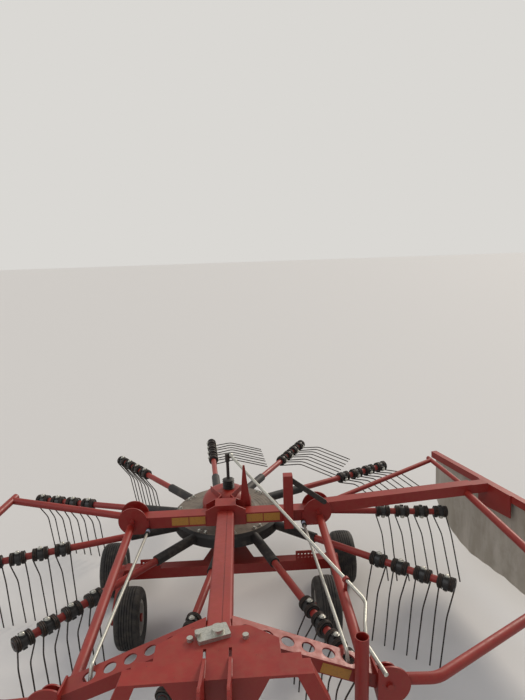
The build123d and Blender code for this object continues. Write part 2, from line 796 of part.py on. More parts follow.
with BuildPart() as rim_form:
    with BuildSketch(Plane.XY) as rim_section:
        with BuildLine():
            Polyline((-bead_half, bead_radius + rim_lip), (-lip_half, bead_radius + rim_lip),
                     (-lip_half, bead_radius - rim_lip), (-bead_half / 2, well_radius - rim_lip),
                     (-rim_disc, well_radius - rim_lip), (-rim_disc, rim_boss_radius),
                     (-rim_hub_length / 2, rim_boss_radius), (-rim_hub_length / 2, bore_radius),
                     (rim_hub_length / 2, bore_radius), (rim_hub_length / 2, rim_boss_radius),
                     (0, rim_boss_radius), (0, well_radius - rim_lip), (bead_half / 2, well_radius - rim_lip),
                     (lip_half, bead_radius - rim_lip), (lip_half, bead_radius + rim_lip),
                     (bead_half, bead_radius + rim_lip), (bead_half, bead_radius - seat_gap),
                     (bead_half / 2, well_radius), (-bead_half / 2, well_radius),
                     (-bead_half, bead_radius - seat_gap), close=True)
        make_face()
    revolve(rim_section.sketch, axis=Axis.X)

for place, (wheel_y, way) in wheel_spots.items():
    for side_name, side in sides:
        wheel_x = side * (rocker_x + way * wheel_offset)
        wheel_at = Location((wheel_x, wheel_y, wheel_z), (0, 0, 90 - 90 * side * way))
        for form, form_name in ((tyre_form, "tyre"), (rim_form, "rim")):
            with BuildPart() as wheel_piece:
                add(form.part.moved(wheel_at))
            finish(wheel_piece, f"{form_name}_{place}_{side_name}")


# Stand: a sleeve on the right wing's front flange and the leg that slides in it
wing_front_run = (wing_front_outer - wing_front_inner).normalized()
stand_share = (stand_x - wing_front_inner.X) / wing_front_run.X
stand_face = wing_front_inner + wing_front_run * stand_share
stand_y = stand_face.Y - sleeve_pipe / 2 - stand_standoff
with BuildPart() as stand_sleeve:
    lug_z = stand_face.Z - stand_lug_drop
    wing_front_face = Plane(origin=wing_front_inner, z_dir=wing_plane.z_dir.cross(wing_front_run))
    box_bar((stand_x, stand_y, lug_z), (stand_x, stand_y + sleeve_pipe, lug_z), stand_lug_width,
            stand_lug_height)
    split(bisect_by=wing_front_face, keep=Keep.BOTTOM)
    bar((stand_x, stand_y, stand_sleeve_low), (stand_x, stand_y, stand_sleeve_top), sleeve_pipe)
    drill((stand_x, stand_y, stand_sleeve_low), (stand_x, stand_y, stand_sleeve_top),
          sleeve_pipe - 2 * sleeve_pipe_wall)
finish(stand_sleeve, "stand_sleeve")

leg_outer = sleeve_pipe - 2 * sleeve_pipe_wall - 2 * stand_gap
with BuildPart() as stand_leg:
    bar((stand_x, stand_y, 0), (stand_x, stand_y, leg_top), leg_outer, leg_wall)
    bar((stand_x, stand_y, 0), (stand_x, stand_y, foot_thickness), foot_diameter)
finish(stand_leg, "stand_leg")


# Input shaft stub
with BuildPart() as input_shaft:
    bar((0, pto_socket - input_housing_reach - pin_side_gap, input_height),
        (0, -input_housing_reach, input_height), pto_neck)
    bar((0, -input_housing_reach, input_height),
        (0, -input_housing_reach - pto_length, input_height), pto_diameter)
finish(input_shaft, "input_shaft")


# Hub of the rotor with the sleeves of its arms
arm_slope = (arm_end_height - arm_root_height) / (rotor_radius - arm_root_radius)


def arm_line(number):
    """The place of an arm's axis beside the rotor's middle, and its run for each millimetre outwards."""
    azimuth = radians(first_arm_azimuth + number * 360 / arm_count)
    aside = Vector(-sin(azimuth), cos(azimuth), 0) * arm_offset
    root = aside + Vector(0, 0, arm_root_height - arm_slope * arm_root_radius)
    return root, Vector(cos(azimuth), sin(azimuth), arm_slope)


with BuildPart() as rotor_hub:
    with BuildSketch(Plane.XZ) as hub_section:
        with BuildLine():
            Polyline((column_outer / 2 + running_fit, hub_top + hub_crown),
                     (hub_crown_radius, hub_top + hub_crown), (hub_crown_foot, hub_top),
                     (hub_radius - hub_rim, hub_top), (hub_radius, hub_top - hub_rim), (hub_radius, hub_low),
                     (column_outer / 2 + running_fit, hub_low), close=True)
        make_face()
    revolve(hub_section.sketch, axis=Axis.Z)
    for number in range(arm_count):
        foot_point, out = arm_line(number)
        bar(foot_point + out * arm_root_radius, foot_point + out * sleeve_end_radius, sleeve_outer)
        drill(foot_point + out * (sleeve_end_radius - arm_socket), foot_point + out * sleeve_end_radius,
              arm_tube_outer + 2 * seat_gap)
finish(rotor_hub, "rotor_hub")


# Tubes of the tine arms
tube_start_radius = sleeve_end_radius - arm_socket
with BuildPart() as arm_tubes:
    for number in range(arm_count):
        foot_point, out = arm_line(number)
        bar(foot_point + out * tube_start_radius, foot_point + out * rotor_radius, arm_tube_outer)
finish(arm_tubes, "arm_tubes")


# Tines: four sprung pairs on each tube, turned by the cam as far as it lifts that arm
def tine_set(lift):
    """The pairs of one tube along +Z, with +X down and +Y leading, lifted by an angle in degrees."""
    coil_wire_radius = (coil_outer - tine_wire) / 2
    upper = radians(lift + tine_bend)
    lower = radians(lift)
    start = Vector(sin(upper), cos(upper), 0) * coil_wire_radius
    knee = start + Vector(cos(upper), -sin(upper), 0) * tine_upper
    tip = knee + Vector(cos(lower), -sin(lower), 0) * tine_lower
    places = ((start, leg_spacing), (knee, knee_spacing), (tip, tip_spacing))
    with BuildPart() as pairs:
        for number in range(tines_per_arm):
            middle = rotor_radius - tube_start_radius - (coil_spacing + coil_width) / 2 - number * tine_pitch
            with Locations((0, 0, middle)):
                Cylinder(clamp_outer / 2, coil_spacing)
            for way in (-1, 1):
                with BuildSketch(Plane.XY.offset(middle + way * coil_spacing / 2 - coil_width / 2)) as coil:
                    RegularPolygon(coil_outer / 2, coil_sides)
                extrude(coil.sketch, amount=coil_width)
                with BuildLine() as wire:
                    Polyline(*[place + Vector(0, 0, middle + way * spacing / 2)
                               for place, spacing in places])
                path = wire.wires()[0]
                with BuildSketch(Plane(origin=path @ 0, z_dir=path % 0)) as section:
                    RegularPolygon(tine_wire / 2, wire_sides)
                sweep(section.sketch, path=path, transition=Transition.RIGHT)
            with Locations((0, 0, middle)):
                Cylinder(arm_tube_outer / 2 + seat_gap, coil_spacing + 2 * coil_width, mode=Mode.SUBTRACT)
    return pairs.part


for number, lift in enumerate(tine_lifts):
    foot_point, out = arm_line(number)
    arm_plane = Plane(origin=foot_point + out * tube_start_radius, x_dir=(0, 0, -1), z_dir=out)
    with BuildPart() as placed_set:
        add(tine_set(lift).moved(arm_plane.location))
    finish(placed_set, f"tine_set_{number + 1:02d}")


# Guards: each turns on two bushes between its brackets' plates
rear_bush_half = cross_depth / 2 - bush_gap
front_bush_half = front_bracket_gap / 2 - bush_gap


def guard_bush(place, half):
    """A bush on the guard's hinge line, still without its bore."""
    bar(Vector(place) - rear_pin_axis * half, Vector(place) + rear_pin_axis * half, hinge_bush)


def bush_bore(place, half):
    """The bore of a guard's bush, cut through everything that reaches it."""
    drill(Vector(place) - rear_pin_axis * 2 * half, Vector(place) + rear_pin_axis * 2 * half,
          hinge_pin + 2 * running_fit)


with BuildPart() as guard_left_mirrored:
    guard_bush(hinge_rear, rear_bush_half)
    guard_bush(hinge_front, front_bush_half)
    corner = (-left_corner[0], left_corner[1], left_corner[2])
    bar(hinge_rear, corner, guard_tube, guard_wall)
    bent_bar([(-left_loop_rear[0], left_loop_rear[1], left_loop_rear[2]),
              (-left_loop_outer[0], left_loop_outer[1], left_loop_outer[2]),
              (-left_loop_inner[0], left_loop_inner[1], left_loop_inner[2]), hinge_front],
             guard_tube, guard_bend, guard_wall)
    bush_bore(hinge_rear, rear_bush_half)
    bush_bore(hinge_front, front_bush_half)
with BuildPart() as guard_left:
    mirror(guard_left_mirrored.part, about=mid_plane)
finish(guard_left, "guard_left")

beam_rear_face = right_beam_start[1] + right_beam_depth / 2
beam_front_face = right_beam_start[1] - right_beam_depth / 2
with BuildPart() as guard_right_beam:
    guard_bush(hinge_rear, rear_bush_half)
    box_bar(right_beam_start, right_beam_end, right_beam_depth, right_beam_height, right_beam_wall)
    bush_bore(hinge_rear, rear_bush_half)
finish(guard_right_beam, "guard_right_beam")

with BuildPart() as guard_right_loop:
    guard_bush(hinge_front, front_bush_half)
    bent_bar([right_loop_rear, right_loop_outer, right_loop_inner, hinge_front],
             guard_tube, guard_bend, guard_wall)
    bush_bore(hinge_front, front_bush_half)
    cut_behind(beam_front_face)
finish(guard_right_loop, "guard_right_loop")

with BuildPart() as guard_right_bow:
    bar(bow_start, bow_corner, bow_tube, bow_wall)
    bar(bow_end, along(bow_corner, bow_end, -bow_overrun), bow_tube, bow_wall)
    cut_in_front(beam_rear_face)
finish(guard_right_bow, "guard_right_bow")


# Swath curtain: the arm in the right beam, the rail across its end and the sheet below the rail
rail_run = Vector(rail_front) - Vector(rail_rear)
rail_plane = Plane(origin=rail_rear, x_dir=rail_run, z_dir=rail_run.cross(Vector(0, 0, 1)))
hanger_face = rail_top_width / 2
beam_run_out = (Vector(right_beam_end) - Vector(right_beam_start)).normalized()


def rail_strip(points, near, far, mode=Mode.ADD):
    """A plate along the rail: its outline in the rail's plane, between two distances towards the rotor."""
    with BuildSketch(rail_plane.offset(near)) as section:
        with BuildLine():
            Polyline(*points, close=True)
        make_face()
    extrude(section.sketch, amount=far - near, mode=mode)


rail_length = rail_run.length
with BuildPart() as curtain_rail:
    rail_strip([(0, 0), (rail_length, 0), (rail_length, -rail_side_height), (0, -rail_side_height)],
               -rail_top_width / 2, rail_top_width / 2)
    rail_strip([(0, -rail_plate), (rail_length, -rail_plate), (rail_length, -rail_side_height),
                (0, -rail_side_height)],
               rail_plate - rail_top_width / 2, rail_top_width / 2 - rail_plate, Mode.SUBTRACT)
finish(curtain_rail, "curtain_rail")

hanger_end = hanger_start + hanger_length
with BuildPart() as curtain_arm:
    arm_size = (right_beam_depth - 2 * right_beam_wall - 2 * sliding_gap,
                right_beam_height - 2 * right_beam_wall - 2 * sliding_gap)
    arm_start = Vector(right_beam_end) - beam_run_out * arm_inside
    box_bar(arm_start, Vector(right_beam_end) + beam_run_out * 2 * right_beam_depth, *arm_size, arm_wall)
    split(bisect_by=rail_plane.offset(hanger_face + hanger_plate), keep=Keep.TOP)
    rail_strip([(hanger_start, 0), (hanger_end, 0), (hanger_end, hanger_rise - hanger_depth),
                (hanger_start, -hanger_depth)], hanger_face, hanger_face + hanger_plate)
finish(curtain_arm, "curtain_arm")

curtain_outside = rail_top_width / 2 - rail_plate - soft_gap
curtain_top = -rail_plate - soft_gap
curtain_front = rail_length - curtain_margin
with BuildPart() as curtain:
    with BuildSketch(rail_plane.offset(-curtain_outside)) as curtain_section:
        with BuildLine():
            Polyline((curtain_rear_run, -curtain_drop), (curtain_front - curtain_corner, -curtain_drop),
                     (curtain_front, curtain_corner - curtain_drop), (curtain_front, curtain_top),
                     (curtain_margin, curtain_top), (curtain_rear_edge[0], -curtain_rear_edge[1]))
            ThreePointArc((curtain_rear_edge[0], -curtain_rear_edge[1]),
                          (curtain_rear_bulge[0], -curtain_rear_bulge[1]), (curtain_rear_run, -curtain_drop))
        make_face()
    extrude(curtain_section.sketch, amount=curtain_thickness)
finish(curtain, "curtain")


# Headstock: a stepped top plate folded down in front, on two legs that end in the lower link cheeks
head_low = swivel_boss_top + head_gap
head_top = head_low + head_plate
pivot_top = swivel_boss_low - head_gap
pivot_low = pivot_top - head_plate
head_outline = [(head_rear_half, head_rear_y), (head_step_half, head_shoulder_y),
                (head_step_half, head_step_y), (head_half, head_step_y), (head_half, head_front_y),
                (head_nose_half, head_front_y)]
lower_pin = (lower_pin_x, lower_pin_y, lower_pin_z)
leg_low_end = (lower_pin_x, lower_pin_y + leg_end_rear, lower_pin_z + leg_end_rise)
cheek_run = (Vector(leg_shoulder) - Vector(lower_pin)).normalized()
cheek_across = Vector(1, 0, 0).cross(cheek_run)
cheek_upper = Vector(lower_pin) + cheek_run * (cheek_top - lower_pin_z)
cheek_corners = (Vector(lower_pin) - cheek_across * cheek_radius, cheek_upper - cheek_across * leg_depth / 2,
                 cheek_upper + cheek_across * leg_depth / 2, Vector(lower_pin) + cheek_across * cheek_radius)
leg_flats = [(lower_pin_y - leg_depth, lower_pin_z), (lower_pin_y + 2 * leg_depth, lower_pin_z),
             (lower_pin_y + 2 * leg_depth, cheek_flat_top), (lower_pin_y - leg_depth, cheek_flat_top)]
mast_outline = [(mast_root_y, mast_root_top), (mast_root_y, mast_low),
                (head_front_y - 2 * head_plate, mast_front_low),
                (link_y - mast_nose, link_z - link_eye), (link_y - mast_nose, link_z + link_eye)]


def side_plate(points, x, thickness, mode=Mode.ADD):
    """A plate that stands along the machine, from x outwards, its outline as y and z."""
    with BuildSketch(Plane(origin=(x, 0, 0), x_dir=(0, 1, 0), z_dir=(1, 0, 0))) as section:
        with BuildLine():
            Polyline(*points, close=True)
        make_face()
    extrude(section.sketch, amount=thickness, mode=mode)


with BuildPart() as headstock_frame:
    slab(Plane.XY.offset(head_low), head_outline + [(-x, y) for x, y in reversed(head_outline)], head_plate)
    slab(upright_plane(head_front_y + head_plate),
         [(-head_nose_half, head_top), (-head_low_half, pivot_low), (head_low_half, pivot_low),
          (head_nose_half, head_top)], head_plate)
    swivel_boss_radius = swivel_boss_outer / 2
    slab(Plane.XY.offset(pivot_low),
         [(-head_low_half, head_front_y + head_plate), (-swivel_boss_radius, swivel_y + swivel_boss_radius),
          (swivel_boss_radius, swivel_y + swivel_boss_radius), (head_low_half, head_front_y + head_plate)],
         head_plate)
    drill((0, swivel_y, pivot_low), (0, swivel_y, head_top), swivel_pin + 2 * running_fit)
    for side in (-1, 1):
        leg_places = [(side * leg_top_x, leg_top_y, head_top + leg_depth),
                      (side * leg_shoulder[0], leg_shoulder[1], leg_shoulder[2]),
                      (side * leg_low_end[0], leg_low_end[1], leg_low_end[2])]
        with BuildLine() as leg_route:
            FilletPolyline(*leg_places, radius=leg_bend)
        leg_path = leg_route.wires()[0]
        with BuildSketch(Plane(origin=leg_path @ 0, x_dir=(1, 0, 0), z_dir=leg_path % 0)) as leg_section:
            Rectangle(leg_width, leg_depth)
            Rectangle(leg_width - 2 * leg_thickness, leg_depth - 2 * leg_thickness, mode=Mode.SUBTRACT)
        sweep(leg_section.sketch, path=leg_path)
        cover_share = (leg_depth + head_plate / 2) / (head_top + leg_depth - leg_shoulder[2])
        cover_at = Vector(leg_places[0]) + (Vector(leg_places[1]) - Vector(leg_places[0])) * cover_share
        with BuildSketch(Plane.XY.offset(head_low)) as leg_cover:
            with Locations((cover_at.X, cover_at.Y)):
                Rectangle(leg_width, leg_depth)
        extrude(leg_cover.sketch, amount=head_plate)
        for face_x in (lower_pin_x - leg_width / 2 - cheek_plate, lower_pin_x + leg_width / 2):
            side_plate(leg_flats, face_x if side > 0 else -face_x - cheek_plate, cheek_plate, Mode.SUBTRACT)
    tie_y = along(lower_pin, leg_shoulder, (tie_height - lower_pin_z) / cheek_run.Z).Y
    tie_half = lower_pin_x - leg_width / 2 - cheek_plate - seat_gap
    bar((-tie_half, tie_y, tie_height), (tie_half, tie_y, tie_height), tie_outer, tie_wall)
    split(bisect_by=Plane.XY.offset(head_top), keep=Keep.BOTTOM)
    for side in (-1, 1):
        slot_x = side * (mast_half_gap + mast_plate / 2) - mast_plate / 2 - mast_slot_gap
        slot_low = mast_low - mast_slot_gap
        side_plate([(mast_slot_rear, head_top + 1), (mast_slot_rear, slot_low),
                    (head_front_y - 2 * head_plate, slot_low), (head_front_y - 2 * head_plate, head_top + 1)],
                   slot_x, mast_plate + 2 * mast_slot_gap, Mode.SUBTRACT)
finish(headstock_frame, "headstock_frame")

with BuildPart() as link_cheeks_right:
    for cheek_x in (lower_pin_x - leg_width / 2 - cheek_plate, lower_pin_x + leg_width / 2 + seat_gap):
        with BuildSketch(Plane(origin=(cheek_x, 0, 0), x_dir=(0, 1, 0), z_dir=(1, 0, 0))) as cheek:
            with Locations((lower_pin_y, lower_pin_z)):
                Circle(cheek_radius)
            with BuildLine():
                Polyline(*[(place.Y, place.Z) for place in cheek_corners], close=True)
            make_face()
        extrude(cheek.sketch, amount=cheek_plate - seat_gap)
    drill((lower_pin_x - leg_width, lower_pin_y, lower_pin_z),
          (lower_pin_x + leg_width, lower_pin_y, lower_pin_z), lower_bore)
finish(link_cheeks_right, "link_cheeks_right")

with BuildPart() as link_cheeks_left:
    mirror(link_cheeks_right.part, about=mid_plane)
finish(link_cheeks_left, "link_cheeks_left")

with BuildPart() as mast_plates:
    for side in (-1, 1):
        plate_x = side * (mast_half_gap + mast_plate / 2) - mast_plate / 2
        side_plate(mast_outline, plate_x, mast_plate)
        bar((plate_x, link_y, link_z), (plate_x + mast_plate, link_y, link_z), 2 * link_eye)
    drill((-2 * mast_half_gap, link_y, link_z), (2 * mast_half_gap, link_y, link_z), link_bore)
finish(mast_plates, "mast_plates")

with BuildPart() as swivel_catch:
    with BuildSketch(Plane.XY.offset(head_top)) as catch_block:
        with Locations(Pos(catch_x, swivel_y) * Rot(0, 0, catch_turn)):
            RectangleRounded(catch_length, catch_width, catch_corner)
    extrude(catch_block.sketch, amount=catch_height)
    catch_top = head_top + catch_height
    bar((0, swivel_y, catch_top), (0, swivel_y, catch_top + catch_bolt_height), catch_bolt)
    knob_angle = radians(180 + catch_turn)
    knob = (catch_x + catch_knob_reach * cos(knob_angle), swivel_y + catch_knob_reach * sin(knob_angle))
    bar((*knob, catch_top), (*knob, catch_top + catch_knob_height), catch_knob)
    for side in (-1, 1):
        bar((side * stop_knob_x, stop_knob_y, head_top),
            (side * stop_knob_x, stop_knob_y, head_top + stop_knob_height), stop_knob)
finish(swivel_catch, "swivel_catch")


# Everything is moved so that the floor under the middle of the whole is the origin
boxes = [piece.part.bounding_box() for piece in pieces.values()]
middle_x = (min(box.min.X for box in boxes) + max(box.max.X for box in boxes)) / 2
middle_y = (min(box.min.Y for box in boxes) + max(box.max.Y for box in boxes)) / 2
to_origin = Location((-middle_x, -middle_y, 0))
for name, piece in pieces.items():
    moved = piece.part.moved(to_origin)
    moved.label = name
    export_step(moved, f"parts/{name}.step")
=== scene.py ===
"""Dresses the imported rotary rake: finishes, tine arms, tyres, curtain, bolts, welds and the studio."""

import json
import logging
import math
from dataclasses import dataclass, field, replace
from enum import IntEnum

import bmesh
import bpy
from bpy.types import Material, Node, NodeSocket, NodeTree, Object
from mathutils import Matrix, Vector

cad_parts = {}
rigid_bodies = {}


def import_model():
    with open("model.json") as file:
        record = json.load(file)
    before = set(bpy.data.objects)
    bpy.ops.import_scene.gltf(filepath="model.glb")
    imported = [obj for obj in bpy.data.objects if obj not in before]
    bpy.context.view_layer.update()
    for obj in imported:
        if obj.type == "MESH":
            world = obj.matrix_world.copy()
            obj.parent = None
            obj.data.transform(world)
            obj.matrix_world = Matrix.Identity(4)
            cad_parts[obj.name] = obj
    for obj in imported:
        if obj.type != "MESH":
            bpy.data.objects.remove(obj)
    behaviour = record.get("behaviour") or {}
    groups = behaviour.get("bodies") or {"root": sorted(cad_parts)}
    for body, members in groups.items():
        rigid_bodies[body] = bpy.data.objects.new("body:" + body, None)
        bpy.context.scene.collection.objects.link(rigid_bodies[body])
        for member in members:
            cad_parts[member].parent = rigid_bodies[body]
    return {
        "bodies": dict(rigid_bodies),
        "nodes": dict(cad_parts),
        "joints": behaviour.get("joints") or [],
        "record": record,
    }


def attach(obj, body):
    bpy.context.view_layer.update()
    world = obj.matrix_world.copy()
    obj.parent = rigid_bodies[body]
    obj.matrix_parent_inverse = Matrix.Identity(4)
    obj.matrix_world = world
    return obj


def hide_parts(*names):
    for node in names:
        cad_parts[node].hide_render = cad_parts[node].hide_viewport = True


MM = 0.001
LOG = logging.getLogger("rotary_rake")


class Side(IntEnum):
    """The two sides of the rake, as the sign of x."""

    LEFT = -1
    RIGHT = 1


class Level(IntEnum):
    """How finely a round piece is divided."""

    HEXAGON = 6
    WIRE = 8
    WASHER = 16
    BAR = 24
    TYRE = 96


def linear(hex_colour: str) -> tuple[float, float, float, float]:
    """Turns an sRGB hex colour into linear RGBA.

    Args:
        hex_colour: Six hex digits with a leading #.

    Returns:
        Red, green, blue and an alpha of 1, in linear light.
    """
    channels = [int(hex_colour[place:place + 2], 16) / 255 for place in (1, 3, 5)]
    light = [value / 12.92 if value <= 0.04045 else ((value + 0.055) / 1.055) ** 2.4
             for value in channels]
    return (*light, 1.0)


def rectangle(left: float, right: float, low: float, high: float) -> list[tuple[float, float]]:
    """Gives a rectangle's corners in order."""
    return [(left, low), (right, low), (right, high), (left, high)]


def add_node(tree: NodeTree, kind: str, inputs: dict | None = None, **settings) -> Node:
    """Adds a node with its settings, and fills or links its inputs.

    Args:
        tree: The material's or world's node tree.
        kind: The node's type name, without the ShaderNode that starts it.
        inputs: Values, sockets, or nodes for their first enabled output, by input name or number.
        **settings: Properties of the node.

    Returns:
        The new node.
    """
    node = tree.nodes.new("ShaderNode" + kind)
    for name, value in settings.items():
        setattr(node, name, value)
    for socket, value in (inputs or {}).items():
        if isinstance(value, Node):
            value = next(output for output in value.outputs if output.enabled)
        if isinstance(value, NodeSocket):
            tree.links.new(value, node.inputs[socket])
        else:
            node.inputs[socket].default_value = value
    return node


@dataclass(frozen=True)
class Patches:
    """Patches of noise, by their width in metres and from where to where the noise shows."""

    width: float
    detail: float
    rough: float
    window: tuple[float, float]
    share: tuple[float, float] = (0.0, 1.0)

    def spread(self, tree: NodeTree, where: NodeSocket) -> tuple[Node, Node]:
        """Adds the patches to a material.

        Args:
            tree: Its node tree.
            where: The coordinates that they lie in.

        Returns:
            The noise, and the share that it shows.
        """
        noise = add_node(tree, "TexNoise", {"Vector": where, "Scale": 1 / self.width,
                                            "Detail": self.detail, "Roughness": self.rough})
        shown = add_node(tree, "MapRange", {
            "Value": noise, "From Min": self.window[0], "From Max": self.window[1],
            "To Min": self.share[0], "To Max": self.share[1]})
        return noise, shown

    def lay(self, tree: NodeTree, where: NodeSocket, under: Node | tuple, over: str) -> tuple[Node, Node]:
        """Lays one colour over another in patches.

        Args:
            tree: The material's node tree.
            where: The coordinates that the patches lie in.
            under: The colour below, as a node or linear RGBA.
            over: The colour on top, in hex digits.

        Returns:
            The noise, and the mixed colour.
        """
        noise, shown = self.spread(tree, where)
        return noise, add_node(tree, "Mix", {0: shown, 6: under, 7: linear(over)}, data_type="RGBA")


@dataclass(frozen=True)
class Finish:
    """What every finish has: a name, and a material with the look that the finish gives."""

    name: str

    def look(self, tree: NodeTree, place: Node) -> dict:
        """Builds the look's nodes on the coordinates' node, and gives the shader's inputs."""
        raise NotImplementedError

    def material(self) -> Material:
        """Builds the named material, with the look on a Principled shader."""
        material = bpy.data.materials.new(self.name)
        material.use_nodes = True
        tree = material.node_tree
        tree.nodes.clear()
        shader = add_node(tree, "BsdfPrincipled", self.look(tree, add_node(tree, "TexCoord")))
        add_node(tree, "OutputMaterial", {"Surface": shader})
        return material


@dataclass(frozen=True)
class PaintedSteel(Finish):
    """Steel sprayed with alkyd enamel that has stood outdoors: chalky, dusty, with small chips, and lighter
    on faces that look up, partly sun fade and partly painted light.
    """

    paint: str = "#82130d"
    # The chalked colour is partly sun fade and partly painted light on faces that look up
    chalked_and_lit: str = "#9a281d"
    dust: str = "#86684f"
    primer: str = "#40251f"
    dust_share: float = 0.2
    roughness: tuple[float, float] = (0.36, 0.6)
    # Patches of sun fade, which also carry the painted light on faces that look up, are about 220 mm wide,
    # dust drifts 35 mm and chips 9 mm
    fade: Patches = Patches(0.22, 5.0, 0.62, (0.34, 0.62), (0.25, 0.95))
    drift: Patches = Patches(0.035, 6.0, 0.7, (0.42, 0.72))
    chip: Patches = Patches(0.009, 3.0, 0.5, (0.70, 0.73), (0.0, 0.8))
    # How far up a face looks where the chalky fade with its painted light and the dust begin and where they
    # are full
    upturned: tuple[float, float] = (0.1, 0.95)
    # Dust on a face that looks down, as a share of that on one that looks up
    clinging: float = 0.7
    # Folded and cut edges are rounded by 1.6 mm
    edge: float = 0.0016

    def look(self, tree: NodeTree, place: Node) -> dict:
        """Builds the enamel: fade and dust gather where a face looks up, the fade partly painted light that
        draws such faces lighter, and chips show the primer.
        """
        where = place.outputs["Object"]
        facing = add_node(tree, "SeparateXYZ", {0: place.outputs["Normal"]})
        upward = add_node(tree, "MapRange", {
            "Value": facing.outputs["Z"], "From Min": self.upturned[0], "From Max": self.upturned[1]})
        _, faded = self.fade.spread(tree, where)
        # Chalky colour on faces that look up: partly sun fade, partly painted light that draws tops lighter
        # than sides
        chalk_and_light = add_node(tree, "Math", {0: faded, 1: upward}, operation="MULTIPLY")
        enamel = add_node(tree, "Mix", {0: chalk_and_light, 6: linear(self.paint), 7: linear(self.chalked_and_lit)},
                          data_type="RGBA")
        drifts, settled = replace(self.drift, share=(0.0, self.dust_share)).spread(tree, where)
        resting = add_node(tree, "Math", {0: upward, 1: 1 - self.clinging, 2: self.clinging},
                           operation="MULTIPLY_ADD")
        dusting = add_node(tree, "Math", {0: settled, 1: resting}, operation="MULTIPLY")
        dusted = add_node(tree, "Mix", {0: dusting, 6: enamel, 7: linear(self.dust)}, data_type="RGBA")
        _, surface = self.chip.lay(tree, where, dusted, self.primer)
        gloss = add_node(tree, "MapRange", {
            "Value": drifts, "From Min": 0.3, "From Max": 0.7, "To Min": self.roughness[0],
            "To Max": self.roughness[1]})
        rounded = add_node(tree, "Bevel", {"Radius": self.edge}, samples=4)
        relief = add_node(tree, "Bump", {
            "Height": drifts, "Strength": 0.12, "Distance": 0.0006, "Normal": rounded})
        return {"Base Color": surface, "Roughness": gloss, "Normal": relief}


@dataclass(frozen=True)
class GalvanisedSteel(Finish):
    """Steel dipped or plated in zinc: pale, half matt, with a mottle of crystals."""

    light: str = "#bdbdb5"
    dark: str = "#a8a8a0"
    roughness: tuple[float, float] = (0.38, 0.5)
    # Zinc crystals are about 6 mm wide on small parts
    crystal: float = 0.006

    def look(self, tree: NodeTree, place: Node) -> dict:
        """Builds the zinc with crystals that differ in tone and gloss."""
        crystals = add_node(tree, "TexVoronoi", {
            "Vector": place.outputs["Object"], "Scale": 1 / self.crystal})
        tone = add_node(tree, "SeparateColor", {0: crystals.outputs["Color"]})
        zinc = add_node(tree, "Mix", {0: tone, 6: linear(self.dark), 7: linear(self.light)},
                        data_type="RGBA")
        gloss = add_node(tree, "MapRange", {
            "Value": tone.outputs[1], "To Min": self.roughness[0], "To Max": self.roughness[1]})
        return {"Base Color": zinc, "Roughness": gloss, "Metallic": 0.85}


@dataclass(frozen=True)
class BlackenedSteel(Finish):
    """Oil-hardened spring steel or black-painted steel with brown rust and field dust on it."""

    dark: str = "#1d1a18"
    rust: str = "#5b412f"
    roughness: float = 0.5
    metallic: float = 0.3
    rust_share: float = 0.55
    # Rust blooms about 14 mm wide
    bloom: Patches = Patches(0.014, 5.0, 0.65, (0.45, 0.72))

    def look(self, tree: NodeTree, place: Node) -> dict:
        """Builds dark steel with blooms of rust."""
        blooms, skin = replace(self.bloom, share=(0.0, self.rust_share)).lay(
            tree, place.outputs["Object"], linear(self.dark), self.rust)
        gloss = add_node(tree, "MapRange", {
            "Value": blooms, "To Min": self.roughness - 0.12, "To Max": self.roughness + 0.2})
        return {"Base Color": skin, "Roughness": gloss, "Metallic": self.metallic}


@dataclass(frozen=True)
class DustyHub(Finish):
    """The hub's painted casting: turned rings on top under brown dust, a dark rim and sleeves."""

    centre: tuple[float, float] = (0.0, 0.0)
    disc_radius: float = 0.396
    bare: str = "#3a3430"
    dust: str = "#7d7264"
    rim: str = "#171514"
    roughness: float = 0.62
    # Turned rings are 24 mm apart, and clouds of dust about 71 mm wide on the top and on the rim
    ring: float = 0.024
    top_dust: Patches = Patches(1 / 14, 6.0, 0.65, (0.3, 0.62), (0.35, 1.0))
    rim_dust: Patches = Patches(1 / 14, 6.0, 0.65, (0.5, 0.8), (0.0, 0.35))

    def look(self, tree: NodeTree, place: Node) -> dict:
        """Builds the disc's rings and dust by the distance from the rotor's axis."""
        where = place.outputs["Object"]
        flat = add_node(tree, "VectorMath", {0: where, 1: (-self.centre[0], -self.centre[1], 0.0)},
                        operation="ADD")
        level = add_node(tree, "VectorMath", {0: flat, 1: (1.0, 1.0, 0.0)}, operation="MULTIPLY")
        reach = add_node(tree, "VectorMath", {0: level}, operation="LENGTH")
        rings = add_node(tree, "Math", {0: reach, 1: math.tau / self.ring}, operation="MULTIPLY")
        wave = add_node(tree, "Math", {0: rings}, operation="SINE")
        facing = add_node(tree, "SeparateXYZ", {0: place.outputs["Normal"]})
        upward = add_node(tree, "MapRange", {
            "Value": facing.outputs["Z"], "From Min": 0.75, "From Max": 0.98})
        inside = add_node(tree, "Math", {0: reach, 1: self.disc_radius}, operation="LESS_THAN")
        disc = add_node(tree, "Math", {0: upward, 1: inside}, operation="MULTIPLY")
        _, top = self.top_dust.lay(tree, where, linear(self.bare), self.dust)
        _, edge = self.rim_dust.lay(tree, where, linear(self.rim), self.dust)
        skin = add_node(tree, "Mix", {0: disc, 6: edge, 7: top}, data_type="RGBA")
        turned = add_node(tree, "Math", {0: wave, 1: disc}, operation="MULTIPLY")
        relief = add_node(tree, "Bump", {"Height": turned, "Strength": 0.5, "Distance": 0.0012})
        return {"Base Color": skin, "Roughness": self.roughness, "Normal": relief}


